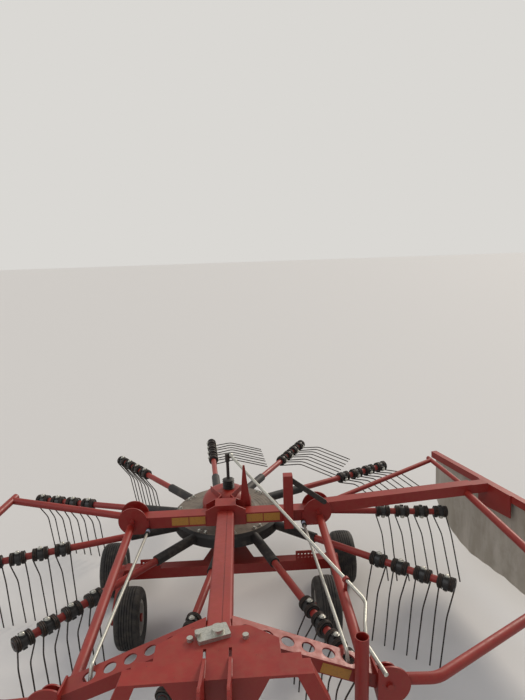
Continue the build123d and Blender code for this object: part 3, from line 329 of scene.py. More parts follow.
@dataclass(frozen=True)
class TyreRubber(Finish):
    """Moulded black rubber, greyed by dust in the grooves and on the walls."""

    rubber: str = "#191818"
    dust: str = "#5d564c"
    roughness: float = 0.72
    # Dust lies in patches about 45 mm wide
    patch: Patches = Patches(0.045, 7.0, 0.68, (0.42, 0.75), (0.0, 0.55))

    def look(self, tree: NodeTree, place: Node) -> dict:
        """Builds the rubber with patches of dry dust."""
        dusted, skin = self.patch.lay(tree, place.outputs["Object"], linear(self.rubber), self.dust)
        relief = add_node(tree, "Bump", {"Height": dusted, "Strength": 0.2, "Distance": 0.0008})
        return {"Base Color": skin, "Roughness": self.roughness, "Normal": relief}


@dataclass(frozen=True)
class CurtainSheet(Finish):
    """Coated polyester sheeting: dull grey, woven in fine threads, with paler upright streaks and stained
    green.
    """

    cloth: str = "#9c9486"
    pale: str = "#bab3a7"
    stain: str = "#7b7362"
    roughness: float = 0.58
    # The real thread is 0.5 mm, drawn at 4 mm so that it shows
    thread: float = 0.004
    # Paler upright streaks are about 170 mm wide and 630 mm tall, and stains 180 mm wide
    stretch: tuple[float, float, float] = (6.0, 6.0, 1.6)
    streak: Patches = Patches(1.0, 8.0, 0.66, (0.42, 0.7))
    spot: Patches = Patches(1 / 5.5, 6.0, 0.6, (0.52, 0.78), (0.0, 0.7))

    def look(self, tree: NodeTree, place: Node) -> dict:
        """Builds the coated weave with paler upright streaks and stains."""
        where = place.outputs["Object"]
        stretched = add_node(tree, "Mapping", {"Vector": where, "Scale": self.stretch})
        _, streaked = self.streak.lay(tree, stretched.outputs[0], linear(self.cloth), self.pale)
        _, skin = self.spot.lay(tree, where, streaked, self.stain)
        weave = add_node(tree, "TexWave", {"Vector": where, "Scale": 1 / self.thread / math.tau},
                         bands_direction="Z")
        relief = add_node(tree, "Bump", {
            "Height": weave.outputs["Fac"], "Strength": 0.15, "Distance": 0.0004})
        return {"Base Color": skin, "Roughness": self.roughness, "Normal": relief}


@dataclass(frozen=True)
class MouldedPlastic(Finish):
    """Moulded plastic or a printed film without print: even in colour, with light scuffs."""

    colour: str = "#151515"
    scuff: str = "#4c4a48"
    roughness: float = 0.45
    scuff_share: float = 0.35
    # Scuffs are about 10 mm wide
    mark: Patches = Patches(0.01, 5.0, 0.7, (0.5, 0.75))

    def look(self, tree: NodeTree, place: Node) -> dict:
        """Builds the plastic with its scuffs."""
        _, skin = replace(self.mark, share=(0.0, self.scuff_share)).lay(
            tree, place.outputs["Object"], linear(self.colour), self.scuff)
        return {"Base Color": skin, "Roughness": self.roughness}


@dataclass
class Rake:
    """The loaded CAD model. Places are given in millimetres from the rotor's axis at the floor."""

    loaded: dict
    axis: Vector = field(init=False)

    def __post_init__(self) -> None:
        """Finds the rotor's axis among the joints."""
        joints = self.loaded["record"]["behaviour"]["joints"]
        spin = next(joint for joint in joints if joint["name"] == "rotor_spin")
        self.axis = Vector((*spin["pos_m"][:2], 0.0))

    def at(self, x: float, y: float, z: float) -> Vector:
        """Gives a place in metres from millimetres off the rotor's axis."""
        return self.axis + Vector((x, y, z)) * MM

    def paint(self, node: str, material: Material) -> None:
        """Gives a CAD node its finish."""
        for place in self.loaded["nodes"][node].material_slots:
            place.material = material


@dataclass
class Forge:
    """One mesh in the making. Places are in metres; radii, profiles and widths in millimetres."""

    name: str
    mesh: bmesh.types.BMesh = field(default_factory=bmesh.new)
    slot: int = 0
    # Edges sharper than this, in degrees, stay sharp
    sharp: float = 32.0

    def ring(self, centre: Vector, across: Vector, up: Vector, radius: float, count: int) -> list:
        """Adds a ring of vertices.

        Args:
            centre: Its middle.
            across: A unit vector in its plane.
            up: The other unit vector in its plane.
            radius: Its radius.
            count: How many vertices.

        Returns:
            The vertices in order.
        """
        radius = radius * MM
        return [self.mesh.verts.new(centre + (across * math.cos(turn) + up * math.sin(turn)) * radius)
                for turn in (math.tau * number / count for number in range(count))]

    def skin(self, first: list, second: list, smooth: bool = True) -> None:
        """Joins two rings by quads."""
        for number, vertex in enumerate(first):
            after = (number + 1) % len(first)
            face = self.mesh.faces.new((vertex, first[after], second[after], second[number]))
            face.smooth = smooth
            face.material_index = self.slot

    def cap(self, ring: list, flip: bool = False) -> None:
        """Closes a ring with one face."""
        face = self.mesh.faces.new(list(reversed(ring)) if flip else ring)
        face.material_index = self.slot

    def wire(self, route: list[Vector], radius: float, count: int) -> None:
        """Adds a round wire or bar along a route, closed at both ends.

        Args:
            route: The points of its middle line.
            radius: Its radius.
            count: Sides of its section.
        """
        runs = [(after - before).normalized() for before, after in zip(route, route[1:])]
        across = runs[0].orthogonal().normalized()
        rings = []
        for number, place in enumerate(route):
            ahead = (runs[max(number - 1, 0)] + runs[min(number, len(runs) - 1)]).normalized()
            across = (across - ahead * across.dot(ahead)).normalized()
            rings.append(self.ring(place, across, ahead.cross(across), radius, count))
        self.cap(rings[0], flip=True)
        for first, second in zip(rings, rings[1:]):
            self.skin(first, second)
        self.cap(rings[-1])

    def lathe(self, profile: list[tuple[float, float]], origin: Vector, axis: Vector, count: int,
              closed: bool = False, smooth: bool = True) -> None:
        """Turns a profile round an axis.

        Args:
            profile: Pairs of distance along the axis and radius.
            origin: Where the axis starts.
            axis: Its unit vector.
            count: Divisions of the turn.
            closed: Whether the profile's ends join, as on a tyre.
            smooth: Whether its faces are shaded smooth.
        """
        across = axis.orthogonal().normalized()
        up = axis.cross(across)
        rings = [self.ring(origin + axis * along * MM, across, up, radius, count)
                 for along, radius in profile]
        for first, second in zip(rings, rings[1:]):
            self.skin(first, second, smooth)
        if closed:
            self.skin(rings[-1], rings[0], smooth)
        else:
            self.cap(rings[0], flip=True)
            self.cap(rings[-1])

    def bolt(self, place: Vector, axis: Vector, across_flats: float, washer: float = 1.6) -> None:
        """Adds a washer and a chamfered hexagon head that stand on a face.

        Args:
            place: The middle of the head's foot on the face.
            axis: The unit vector out of the face.
            across_flats: The hexagon's width.
            washer: The washer's thickness.
        """
        corner, head = across_flats / math.sqrt(3), across_flats * 0.62
        wide = corner * 1.28
        self.lathe([(0, wide), (washer * 0.8, wide), (washer, corner * 1.2)], place, axis, Level.WASHER)
        self.lathe([(washer, corner), (washer + head * 0.82, corner), (washer + head, corner * 0.86)],
                   place, axis, Level.HEXAGON, smooth=False)

    def plate(self, corners: list[Vector], thickness: Vector) -> None:
        """Adds a flat plate.

        Args:
            corners: Its outline on one face, in order.
            thickness: From that face to the other.
        """
        near = [self.mesh.verts.new(corner) for corner in corners]
        far = [self.mesh.verts.new(corner + thickness) for corner in corners]
        self.skin(near, far, smooth=False)
        self.cap(near, flip=True)
        self.cap(far)

    def finish(self, body: str, materials: list[Material], slot: str) -> Object:
        """Makes the object, with its finishes, on its body.

        Args:
            body: The CAD body that it rides on.
            materials: Its finishes, in the order of the faces' numbers.
            slot: The record's material slot that it takes; not used.

        Returns:
            The new object.
        """
        bmesh.ops.recalc_face_normals(self.mesh, faces=self.mesh.faces)
        data = bpy.data.meshes.new(self.name)
        self.mesh.to_mesh(data)
        self.mesh.free()
        data.set_sharp_from_angle(angle=math.radians(self.sharp))
        for material in materials:
            data.materials.append(material)
        piece = bpy.data.objects.new(self.name, data)
        bpy.context.collection.objects.link(piece)
        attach(piece, body)
        LOG.info("%s: %d faces", self.name, len(data.polygons))
        return piece


@dataclass
class TineArms:
    """The eleven arms: a painted tube each, with sprung double tines wound round it and clamped."""

    rake: Rake
    tube_paint: Material
    steel: Material
    plastic: Material
    zinc: Material
    # How far the cam has lifted each arm's tines, in degrees
    lifts: tuple[float, ...] = (4, 8, 50, 80, 76, 73, 8, 5, 0, 0, 3)
    first_azimuth: float = -69.2
    end_radius: float = 1740.0
    start_radius: float = 712.0
    offset: float = 60.0
    root: tuple[float, float] = (300.0, 610.0)
    end_height: float = 556.0
    tube_radius: float = 24.0
    edge: float = 1.5
    # Pairs of tines on an arm, the outermost's distance from the tube's end, and their pitch
    packs: int = 4
    pack_margin: float = 54.0
    pitch: float = 152.0
    # Half the distance between a pair's legs at the coils, the knees and the tips
    spread: tuple[float, float, float] = (50.0, 36.0, 32.0)
    coil_radius: float = 41.25
    wire_radius: float = 4.75
    upper: float = 200.0
    lower: float = 350.0
    bend: float = 25.0
    knee_radius: float = 150.0
    knee_steps: int = 6
    turns: float = 2.75
    turn_steps: int = 22
    coil_pitch: float = 10.2
    clamp_height: float = 43.0
    # The domed nut's section, as heights and radii
    dome: tuple[tuple[float, float], ...] = ((0, 17), (3, 17), (4, 14), (9, 13), (12, 10), (13, 4))
    # The spool's turned section, as places along the tube and radii, and half the clamp's block
    spool: tuple[tuple[float, float], ...] = (
        (-54, 25), (-54, 33), (-52, 35), (-20, 35), (-18, 37), (-12, 38), (12, 38), (18, 37), (20, 35),
        (52, 35), (54, 33), (54, 25))
    block: tuple[float, float] = (13.0, 24.0)

    def leg(self, lift: float) -> list[tuple[float, float, float]]:
        """Gives a tine's line from coil to tip, in millimetres.

        Args:
            lift: How far the cam has lifted the tine, in degrees.

        Returns:
            The distances down, leading and sideways of each point.
        """
        steep = math.radians(lift + self.bend)
        easy = math.radians(lift)
        coil, knee_side, tip_side = self.spread
        start = Vector((math.sin(steep) * self.coil_radius, math.cos(steep) * self.coil_radius, coil))
        knee = start + Vector((math.cos(steep), -math.sin(steep), 0)) * self.upper
        knee.z = knee_side
        tip = knee + Vector((math.cos(easy), -math.sin(easy), 0)) * self.lower
        tip.z = tip_side
        ahead, below = (knee - start).normalized(), (tip - knee).normalized()
        cut = self.knee_radius * math.tan(math.radians(self.bend) / 2)
        bow = []
        for step in range(self.knee_steps):
            share = step / (self.knee_steps - 1)
            near = knee - ahead * cut * (1 - share)
            far = knee + below * cut * share
            bow.append(tuple(near * (1 - share) + far * share))
        return [tuple(start), *bow, tuple(tip)]

    def lines(self) -> list[tuple[str, Vector, Vector, float]]:
        """Gives each arm's number as text, its line's start and run, and its lift."""
        slope = (self.end_height - self.root[1]) / (self.end_radius - self.root[0])
        found = []
        for number, lift in enumerate(self.lifts):
            turn = math.radians(self.first_azimuth + number * 360 / len(self.lifts))
            aside = Vector((-math.sin(turn), math.cos(turn), 0)) * self.offset
            origin = self.rake.at(*(aside + Vector((0, 0, self.root[1] - slope * self.root[0]))))
            out = Vector((math.cos(turn), math.sin(turn), slope))
            found.append((f"{number + 1:02d}", origin, out, lift))
        return found

    def build(self) -> None:
        """Builds the tubes and each tube's tines in place of their CAD nodes."""
        tubes = Forge("painted_arm_tubes")
        edge, tube, inner = self.edge, self.tube_radius, self.tube_radius - 2 * self.edge
        for number, origin, out, lift in self.lines():
            start = origin + out * self.start_radius * MM
            along, length = out.normalized(), out.length * (self.end_radius - self.start_radius)
            tubes.slot = 0
            tubes.lathe([(0, tube), (length - edge, tube), (length, tube - edge)], start, along, Level.BAR)
            tubes.slot = 1
            tubes.lathe([(0, inner), (2 * edge, inner), (4 * edge, tube / 2)],
                        start + along * length * MM, along, Level.BAR)
            self.tines(number, origin, out, lift)
        piece = tubes.finish("rotor", [self.tube_paint, self.plastic], "red_paint")
        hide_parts("arm_tubes")

    def tines(self, number: str, origin: Vector, out: Vector, lift: float) -> None:
        """Builds one arm's four pairs of tines.

        Args:
            number: The arm's number as text.
            origin: Where its line meets the rotor's middle plane.
            out: Along it, one millimetre of radius for each millimetre.
            lift: How far the cam has lifted its tines, in degrees.
        """
        along = out.normalized()
        down = (Vector((0, 0, -1)) + along * along.z).normalized()
        lead = along.cross(down)
        forge = Forge(f"sprung_tines_{number}")

        def spot(radius: float, low: float = 0.0, leading: float = 0.0) -> Vector:
            """Gives a place from the radius, the distance down and the distance leading."""
            return origin + out * radius * MM + (down * low + lead * leading) * MM

        line = self.leg(lift)
        steep = math.radians(lift + self.bend)
        easy = math.radians(lift)
        upward = lead * math.sin(easy) - down * math.cos(easy)
        steps = int(self.turns * self.turn_steps)
        for pack in range(self.packs):
            middle = self.end_radius - self.pack_margin - pack * self.pitch
            forge.slot = 0
            self.clamp(forge, spot(middle), along, upward)
            forge.slot = 1
            for way in (-1, 1):
                coil = []
                for step in range(steps):
                    left = self.turns * (1 - step / steps)
                    angle = steep - math.tau * left
                    level = middle + way * (self.spread[0] - self.coil_pitch * left)
                    coil.append(spot(level, math.sin(angle) * self.coil_radius,
                                     math.cos(angle) * self.coil_radius))
                legs = [spot(middle + way * aside, low, leading) for low, leading, aside in line]
                forge.wire(coil + legs, self.wire_radius, Level.WIRE)
            forge.slot = 2
            for face in (upward, -upward):
                forge.lathe(self.dome, spot(middle) + face * self.clamp_height * MM, face, Level.BAR)
        piece = forge.finish("rotor", [self.plastic, self.steel, self.zinc], "tine_black")
        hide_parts(f"tine_set_{number}")

    def clamp(self, forge: Forge, middle: Vector, along: Vector, upward: Vector) -> None:
        """Adds the spool that carries a pair of coils, with its end flanges and the clamp between them.

        Args:
            forge: The arm's mesh.
            middle: The clamp's middle.
            along: The arm's direction.
            upward: The clamp's upper side, which turns with the tines.
        """
        forge.lathe(self.spool, middle, along, Level.BAR)
        side = along.cross(upward)
        height = upward * self.clamp_height * MM
        wide, deep = self.block
        corners = [middle + (along * across + side * aside) * MM - height
                   for across, aside in rectangle(-wide, wide, -deep, deep)]
        forge.plate(corners, height * 2)


@dataclass
class Wheels:
    """The four wheels: ribbed implement tyres, and the bolts on their rims."""

    rake: Rake
    rubber: Material
    zinc: Material
    tyre_radius: float = 203.0
    bead_radius: float = 104.0
    bead_half: float = 59.7
    tread_half: float = 60.0
    crown: float = 6.0
    ribs: int = 7
    groove: float = 5.0
    groove_depth: float = 6.0
    # The wall's section above the bead, as half widths and radii
    wall: tuple[tuple[float, float], ...] = (
        (70, 118), (78, 132), (84, 148), (85.4, 162), (82, 176), (74, 188), (66, 194.5))
    seat: float = 12.0
    bolts: int = 5
    bolt_circle: float = 55.0
    across_flats: float = 17.0
    # How far the rim's disc stands out on a wheel whose outer side looks to the left
    disc_shift: float = 10.0
    # Each wheel's name, its x and y, and the way that its outer side looks
    places: tuple[tuple[str, float, float, int], ...] = (
        ("front_left", -677, -625, 1), ("front_right", 677, -625, -1),
        ("rear_left", -901, -35, -1), ("rear_right", 901, -35, 1))

    def profile(self) -> list[tuple[float, float]]:
        """Gives the tyre's section: bead, bulged wall and ribbed tread."""
        wall = [(self.bead_half, self.bead_radius), (self.bead_half, self.bead_radius + self.seat),
                *self.wall]
        rib = 2 * self.tread_half / self.ribs
        tread = []
        for number in range(self.ribs):
            left = self.tread_half - number * rib
            points = [(left - self.groove / 2, 0), (left - rib + self.groove / 2, 0)]
            if number < self.ribs - 1:
                points += [(left - rib + way * self.groove / 4, self.groove_depth) for way in (1, -1)]
            tread += [(place, self.tyre_radius - deep - self.crown * (place / self.tread_half) ** 2)
                      for place, deep in points]
        mirrored = [(-place, radius) for place, radius in reversed(wall)]
        return wall + tread + mirrored

    def build(self) -> None:
        """Builds each tyre in place of its CAD node and dresses its rim."""
        for name, x, y, way in self.places:
            middle = self.rake.at(x, y, self.tyre_radius)
            forge = Forge(f"ribbed_tyre_{name}")
            forge.lathe(self.profile(), middle, Vector((1, 0, 0)), Level.TYRE, closed=True)
            piece = forge.finish(f"wheel_{name}", [self.rubber], "tyre")
            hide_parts(f"tyre_{name}")
            trim = Forge(f"wheel_nuts_{name}")
            face = Vector((way, 0, 0))
            near = 0.0 if way > 0 else self.disc_shift * MM
            for number in range(self.bolts):
                turn = math.tau * number / self.bolts
                spot = middle + Vector((0, math.cos(turn), math.sin(turn))) * self.bolt_circle * MM
                trim.bolt(spot + face * near, face, self.across_flats)
            trim.finish(f"wheel_{name}", [self.zinc], "galvanised")


@dataclass
class SwathCurtain:
    """The sheet that hangs below the rail, and the bolts that clamp it."""

    rake: Rake
    cloth: Material
    zinc: Material
    rail_rear: tuple[float, float, float] = (1776.0, 372.0, 896.0)
    rail_front: tuple[float, float, float] = (2112.0, -1250.0, 992.0)
    half_width: float = 23.0
    margin: float = 14.0
    # The sheet's drop, and near the rear the run, the drop at its end and the fullness of the curve
    drop: float = 672.0
    rear_run: float = 480.0
    rear_drop: float = 395.0
    rear_curve: float = 0.8
    corner: float = 130.0
    columns: int = 150
    rows: int = 44
    # How far the sheet starts below the rail's top, and hangs inside the rail's side
    top: float = 5.3
    inset: float = 7.8
    thickness: float = 2.0
    # The folds' billow at the rail and what it gains, from where below the rail and over what run
    billow: tuple[float, float] = (1.4, 9.5)
    billow_start: float = 60.0
    billow_run: float = 420.0
    crease: float = 1.6
    bolts: int = 11
    bolt_margin: float = 60.0
    bolt_drop: float = 30.0
    across_flats: float = 13.0

    def depth(self, along: float, length: float) -> float:
        """Gives how far down the sheet reaches, in millimetres, at a distance along the rail."""
        if along < self.rear_run:
            share = (along - self.margin) / (self.rear_run - self.margin)
            curve = math.sin(share * math.pi / 2) ** self.rear_curve
            return self.rear_drop + (self.drop - self.rear_drop) * curve
        spare = length - self.margin - along
        if spare < self.corner:
            return self.drop - self.corner * (1 - spare / self.corner)
        return self.drop

    def outward(self, along: float, low: float, share: float) -> float:
        """Gives how far out a point of the sheet lies, with its upright folds and slight creases.

        Args:
            along: The distance along the rail.
            low: The distance below the rail's top.
            share: The same as a share of the sheet's depth there.

        Returns:
            The distance from the rail's middle, in millimetres.
        """
        # Three waves, in millimetres to a radian: one that wanders, a broad one, and one that leans
        fold = (math.sin(along / 38 + 0.6 * math.sin(along / 170)) * 0.5
                + math.sin(along / 91 + 1.3) + 0.45 * math.sin(along / 23 + low / 160))
        fullness = min(1.0, max(0.0, (low - self.billow_start) / self.billow_run))
        billow = self.billow[0] + self.billow[1] * fullness
        crease = self.crease * math.sin(low / 47 + along / 300) * share
        return (self.half_width - self.inset
                + (-fold * billow * 0.55 - crease) * min(1.0, low / self.billow_start))

    def build(self) -> None:
        """Builds the sheet in place of its CAD node, and the rail's bolts."""
        rear = self.rake.at(*self.rail_rear)
        run = self.rake.at(*self.rail_front) - rear
        length = run.length / MM
        ahead = run.normalized()
        inward = ahead.cross(Vector((0, 0, 1))).normalized()
        up = inward.cross(ahead)
        forge = Forge("swath_curtain_sheet")
        grid = []
        step = (length - 2 * self.margin) / self.columns
        for column in range(self.columns + 1):
            along = self.margin + column * step
            depth = self.depth(along, length)
            line = []
            for row in range(self.rows + 1):
                share = row / self.rows
                low = self.top + (depth - self.top) * share
                line.append(forge.mesh.verts.new(rear + (
                    ahead * along - up * low - inward * self.outward(along, low, share)) * MM))
            grid.append(line)
        for before, after in zip(grid, grid[1:]):
            for row in range(self.rows):
                face = forge.mesh.faces.new((before[row], before[row + 1], after[row + 1], after[row]))
                face.smooth = True
        piece = forge.finish("curtain", [self.cloth], "curtain_sheet")
        thick = piece.modifiers.new("sheet", "SOLIDIFY")
        thick.thickness = self.thickness * MM
        thick.offset = 0.0
        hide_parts("curtain")
        bolts = Forge("rail_bolts")
        for number in range(self.bolts):
            along = self.bolt_margin + number * (length - 2 * self.bolt_margin) / (self.bolts - 1)
            spot = rear + (ahead * along - up * self.bolt_drop - inward * self.half_width) * MM
            bolts.bolt(spot, -inward, self.across_flats)
        clamps = bolts.finish("curtain", [self.zinc], "galvanised")


@dataclass
class SafetyPlates:
    """Blank amber reflective plates on the cross beam and on the right wing."""

    rake: Rake
    film: Material
    front_y: float = -402.0
    thickness: float = 1.2
    height: float = 58.0
    middle_z: float = 783.0
    # Each plate on the beam, as its two ends along x
    beam_plates: tuple[tuple[float, float], ...] = ((-383, -266), (-259, -146), (146, 262), (269, 384))
    # The front edge of the right wing's top, and the plate's place below it
    wing_inner: tuple[float, float, float] = (51.5, -1954.6, 1076.0)
    wing_outer: tuple[float, float, float] = (662.5, -2010.7, 884.0)
    wing_reach: tuple[float, float] = (415.0, 545.0)
    wing_drop: tuple[float, float] = (11.0, 60.0)
    wing_gap: float = 0.2

    def build(self) -> None:
        """Builds two pairs on the cross beam's front face and one plate on the right wing's."""
        forge = Forge("amber_plates")
        half = self.height / 2
        for left, right in self.beam_plates:
            corners = [self.rake.at(x, self.front_y, self.middle_z + z)
                       for x, z in rectangle(left, right, -half, half)]
            forge.plate(corners, Vector((0, -self.thickness * MM, 0)))
        inner = self.rake.at(*self.wing_inner)
        run = (self.rake.at(*self.wing_outer) - inner).normalized()
        ahead = Vector((run.y, -run.x, 0)).normalized()
        below = run.cross(ahead).normalized()
        corners = [inner + (run * reach + below * drop + ahead * self.wing_gap) * MM
                   for reach, drop in rectangle(*self.wing_reach, *self.wing_drop)]
        forge.plate(corners, ahead * self.thickness * MM)
        forge.finish("frame", [self.film], "red_paint")


@dataclass
class HubBolts:
    """The pairs of bolts near the hub's rim, between the arms."""

    rake: Rake
    zinc: Material
    hub_top: float = 652.0
    bolt_circle: float = 372.0
    first_azimuth: float = -53.2
    pairs: int = 11
    half_pair: float = 4.2
    across_flats: float = 19.0

    def build(self) -> None:
        """Builds all of them."""
        forge = Forge("hub_bolts")
        for number in range(self.pairs):
            for shift in (-self.half_pair, self.half_pair):
                turn = math.radians(self.first_azimuth + number * 360 / self.pairs + shift)
                spot = self.rake.at(self.bolt_circle * math.cos(turn), self.bolt_circle * math.sin(turn),
                                    self.hub_top)
                forge.bolt(spot, Vector((0, 0, 1)), self.across_flats)
        forge.finish("rotor", [self.zinc], "galvanised")


@dataclass
class Welds:
    """Rippled weld beads, painted over, where tubes and plates meet."""

    rake: Rake
    paint: Material
    # The radius of a straight bead and of one round a tube, the ripples' length, the share of the
    # radius between them, and the radius at the ends
    bead: float = 4.0
    ring_bead: float = 3.6
    ripple: float = 5.0
    thin: float = 0.78
    tip: float = 1.0
    # Upright beads on the frame, as x on the right side, y, and the two heights
    uprights: tuple[tuple[float, float, float, float], ...] = (
        (142.0, -412.0, 742.0, 818.0), (58.5, -413.0, 746.0, 846.0))
    # The struts' middle line on the right side, where their bead lies on it, and their radius
    strut_rear: tuple[float, float, float] = (672.0, -402.0, 759.0)
    strut_front: tuple[float, float, float] = (640.0, -1960.0, 858.0)
    strut_start: float = 11.0
    strut_radius: float = 27.0
    # Level beads beside the mast plates, as x on the right side, and their height and two ends
    mast_sides: tuple[float, float] = (46.0, 58.0)
    mast_z: float = 1109.0
    mast_ends: tuple[float, float] = (-2124.0, -2230.0)

    def run(self, forge: Forge, start: Vector, end: Vector) -> None:
        """Adds one straight bead, swelling and thinning every few millimetres.

        Args:
            forge: The mesh.
            start: One end of its line.
            end: The other.
        """
        length = (end - start).length / MM
        count = int(length / self.ripple)
        ripples = [(length * number / count, self.bead * (self.thin if number % 2 else 1.0))
                   for number in range(1, count)]
        forge.lathe([(0.0, self.tip), *ripples, (length, self.tip)], start,
                    (end - start).normalized(), Level.WIRE)

    def ring(self, forge: Forge, centre: Vector, axis: Vector, radius: float) -> None:
        """Adds a bead round a tube's end.

        Args:
            forge: The mesh.
            centre: The middle of the tube's end.
            axis: The tube's direction.
            radius: The tube's radius in millimetres.
        """
        across = axis.orthogonal().normalized()
        up = axis.cross(across)
        count = int(math.tau * radius / self.ripple)
        route = [centre + (across * math.cos(turn) + up * math.sin(turn)) * radius * MM
                 for turn in (math.tau * number / count for number in range(count + 1))]
        forge.wire(route, self.ring_bead, Level.WIRE)

    def build(self) -> None:
        """Builds the beads of the frame and of the headstock."""
        frame, head = Forge("frame_welds"), Forge("headstock_welds")
        at = self.rake.at
        for side in Side:
            for x, y, low, high in self.uprights:
                self.run(frame, at(side * x, y, low), at(side * x, y, high))
            rear = at(side * self.strut_rear[0], *self.strut_rear[1:])
            along = (at(side * self.strut_front[0], *self.strut_front[1:]) - rear).normalized()
            self.ring(frame, rear + along * self.strut_start * MM, along, self.strut_radius)
            for x in self.mast_sides:
                self.run(head, *(at(side * x, y, self.mast_z) for y in self.mast_ends))
        frame.finish("frame", [self.paint], "red_paint")
        head.finish("headstock", [self.paint], "red_paint")


@dataclass
class RodSleeves:
    """The plastic sleeves at the rear ends of the lock rods: black, pale and black again."""

    rake: Rake
    black: Material
    pale: Material
    rear: tuple[float, float, float] = (549.0, -411.3, 736.0)
    crest: tuple[float, float, float] = (557.0, -1922.0, 946.0)
    # Each band as its start, end and radius, and whether it is black
    bands: tuple[tuple[float, float, float, bool], ...] = (
        (1.0, 20.0, 17.0, True), (19.0, 62.0, 14.4, False), (61.0, 77.5, 17.4, True))
    edge: float = 1.5

    def build(self) -> None:
        """Builds both sleeves."""
        for side in Side:
            rear = self.rake.at(side * self.rear[0], *self.rear[1:])
            ahead = (self.rake.at(side * self.crest[0], *self.crest[1:]) - rear).normalized()
            forge = Forge(f"rod_sleeve_{side.name.lower()}")
            for start, end, radius, dark in self.bands:
                forge.slot = int(dark)
                rounded = [(start, radius - self.edge), (start + self.edge, radius),
                           (end - self.edge, radius), (end, radius - self.edge)]
                forge.lathe(rounded, rear, ahead, Level.BAR)
            forge.finish("frame", [self.pale, self.black], "galvanised")


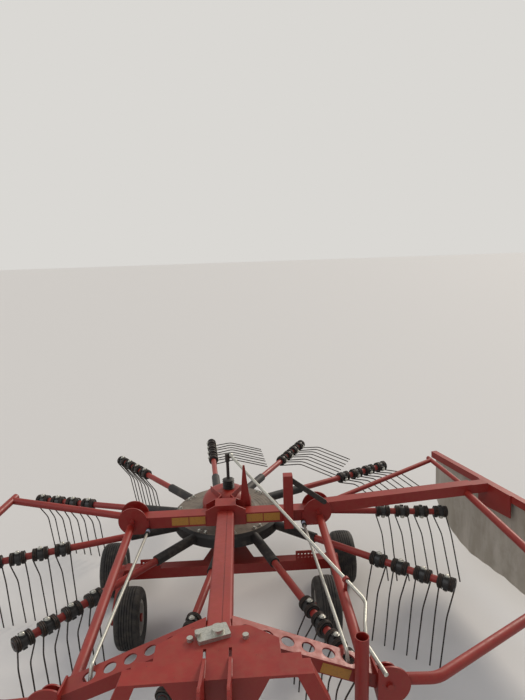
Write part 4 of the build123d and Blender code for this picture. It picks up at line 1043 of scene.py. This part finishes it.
@dataclass
class Studio:
    """A plain pale floor, soft light, and the camera where the photograph was taken."""

    rake: Rake
    floor_colour: str = "#dfddd9"
    backdrop_colour: str = "#dad8d4"
    floor_half: float = 60.0
    floor_roughness: float = 0.9
    sky_colour: str = "#eceef2"
    sky_strength: float = 0.45
    # Each sun's name, place, angular width, strength and colour, and the spot that both shine on
    suns: tuple[tuple[str, tuple[float, float, float], float, float, str], ...] = (
        ("key", (5200, 5600, 5200), 16.0, 1.8, "#fff3e4"),
        ("fill", (-5600, -3600, 5600), 60.0, 0.8, "#f2f4fb"))
    lit: tuple[float, float, float] = (0, -700, 500)
    camera_place: tuple[float, float, float] = (131.0, -4052.0, 2743.0)
    focal_pixels: float = 556.15
    image_height: float = 700.0
    sensor: float = 36.0
    farthest: float = 200.0
    pitch: float = 11.51
    roll: float = 1.83
    yaw: float = 2.62

    def floor(self) -> None:
        """Lays the floor."""
        data = bpy.data.meshes.new("floor")
        half = self.floor_half
        data.from_pydata([(x, y, 0) for x, y in rectangle(-half, half, -half, half)], [], [(0, 1, 2, 3)])
        material = bpy.data.materials.new("painted_floor")
        material.use_nodes = True
        shader = material.node_tree.nodes["Principled BSDF"]
        shader.inputs["Base Color"].default_value = linear(self.floor_colour)
        shader.inputs["Roughness"].default_value = self.floor_roughness
        data.materials.append(material)
        ground = bpy.data.objects.new("floor", data)
        bpy.context.collection.objects.link(ground)

    def light(self) -> None:
        """Sets a pale sky and two soft suns, the stronger behind on the right."""
        world = bpy.data.worlds.new("studio")
        bpy.context.scene.world = world
        world.use_nodes = True
        tree = world.node_tree
        tree.nodes.clear()
        seen = add_node(tree, "LightPath")
        glossy = add_node(tree, "Math", {
            0: seen.outputs["Is Camera Ray"], 1: seen.outputs["Is Glossy Ray"]}, operation="MAXIMUM")
        through = add_node(tree, "Math", {0: glossy, 1: seen.outputs["Is Transmission Ray"]},
                           operation="MAXIMUM")
        soft = add_node(tree, "Background", {
            "Color": linear(self.sky_colour), "Strength": self.sky_strength})
        backdrop = add_node(tree, "Background", {"Color": linear(self.backdrop_colour)})
        mixed = add_node(tree, "MixShader", {0: through, 1: soft, 2: backdrop})
        add_node(tree, "OutputWorld", {"Surface": mixed})
        for name, place, spread, power, colour in self.suns:
            data = bpy.data.lights.new(name, "SUN")
            data.angle = math.radians(spread)
            data.energy = power
            data.color = linear(colour)[:3]
            lamp = bpy.data.objects.new(name, data)
            bpy.context.collection.objects.link(lamp)
            lamp.location = self.rake.at(*place)
            aim = self.rake.at(*self.lit) - lamp.location
            lamp.rotation_euler = aim.to_track_quat("-Z", "Y").to_euler()

    def camera(self) -> None:
        """Places the camera by its fitted place, turn, pitch and roll."""
        data = bpy.data.cameras.new("rear_window")
        data.sensor_width = self.sensor
        data.lens = self.focal_pixels / self.image_height * self.sensor
        data.clip_end = self.farthest
        yaw, pitch, roll = (math.radians(angle) for angle in (self.yaw, self.pitch, self.roll))
        forward = Vector((math.sin(yaw) * math.cos(pitch), math.cos(yaw) * math.cos(pitch),
                          -math.sin(pitch)))
        right = Vector((math.cos(yaw), -math.sin(yaw), 0))
        up = Vector((math.sin(yaw) * math.sin(pitch), math.cos(yaw) * math.sin(pitch), math.cos(pitch)))
        across = right * math.cos(roll) - up * math.sin(roll)
        above = up * math.cos(roll) + right * math.sin(roll)
        camera = bpy.data.objects.new("rear_window", data)
        bpy.context.collection.objects.link(camera)
        camera.matrix_world = Matrix.Translation(self.rake.at(*self.camera_place)) @ Matrix(
            (across, above, -forward)).transposed().to_4x4()
        bpy.context.scene.camera = camera

    def build(self) -> None:
        """Builds the floor, the light and the camera."""
        self.floor()
        self.light()
        self.camera()
        bpy.context.scene.view_settings.view_transform = "Standard"


def main() -> None:
    """Builds every piece in order."""
    logging.basicConfig(level=logging.INFO, format="%(message)s")
    rake = Rake(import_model())
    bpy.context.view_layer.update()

    enamel = PaintedSteel("weathered_alkyd_enamel").material()
    # The rims too are drawn paler on faces that look up, partly as painted light
    wheel_enamel = PaintedSteel("grey_wheel_enamel", paint="#85827b", chalked_and_lit="#94908a", dust="#6d6456",
                                primer="#51463b", dust_share=0.6).material()
    zinc = GalvanisedSteel("zinc_plated_steel").material()
    spring_steel = BlackenedSteel("oil_hardened_spring_steel").material()
    black_steel = BlackenedSteel("black_painted_steel", dark="#201e1d", rust="#5a4a3c", metallic=0.0,
                                 roughness=0.55, rust_share=0.4).material()
    nylon = MouldedPlastic("black_moulded_nylon").material()
    pale_plastic = MouldedPlastic("pale_moulded_plastic", colour="#b9c6d6", scuff="#7d8794").material()
    amber_film = MouldedPlastic("amber_reflective_film", colour="#a8762a", scuff="#5d4522",
                                scuff_share=0.6).material()
    hub = DustyHub("dusty_hub_casting", centre=(rake.axis.x, rake.axis.y)).material()
    rubber = TyreRubber("moulded_tyre_rubber").material()
    sheet = CurtainSheet("coated_polyester_sheet").material()

    by_slot = {"red_paint": enamel, "rim_paint": wheel_enamel, "galvanised": zinc, "hub_grey": hub,
               "dark_steel": black_steel, "tine_black": spring_steel, "tyre": rubber, "curtain_sheet": sheet}
    for part in rake.loaded["record"]["subparts"]:
        rake.paint(part["node"], by_slot[part["material_slot"]])

    TineArms(rake, enamel, spring_steel, nylon, zinc).build()
    Wheels(rake, rubber, zinc).build()
    SwathCurtain(rake, sheet, zinc).build()
    SafetyPlates(rake, amber_film).build()
    HubBolts(rake, zinc).build()
    Welds(rake, enamel).build()
    RodSleeves(rake, nylon, pale_plastic).build()
    Studio(rake).build()


if __name__ == "__main__":
    main()
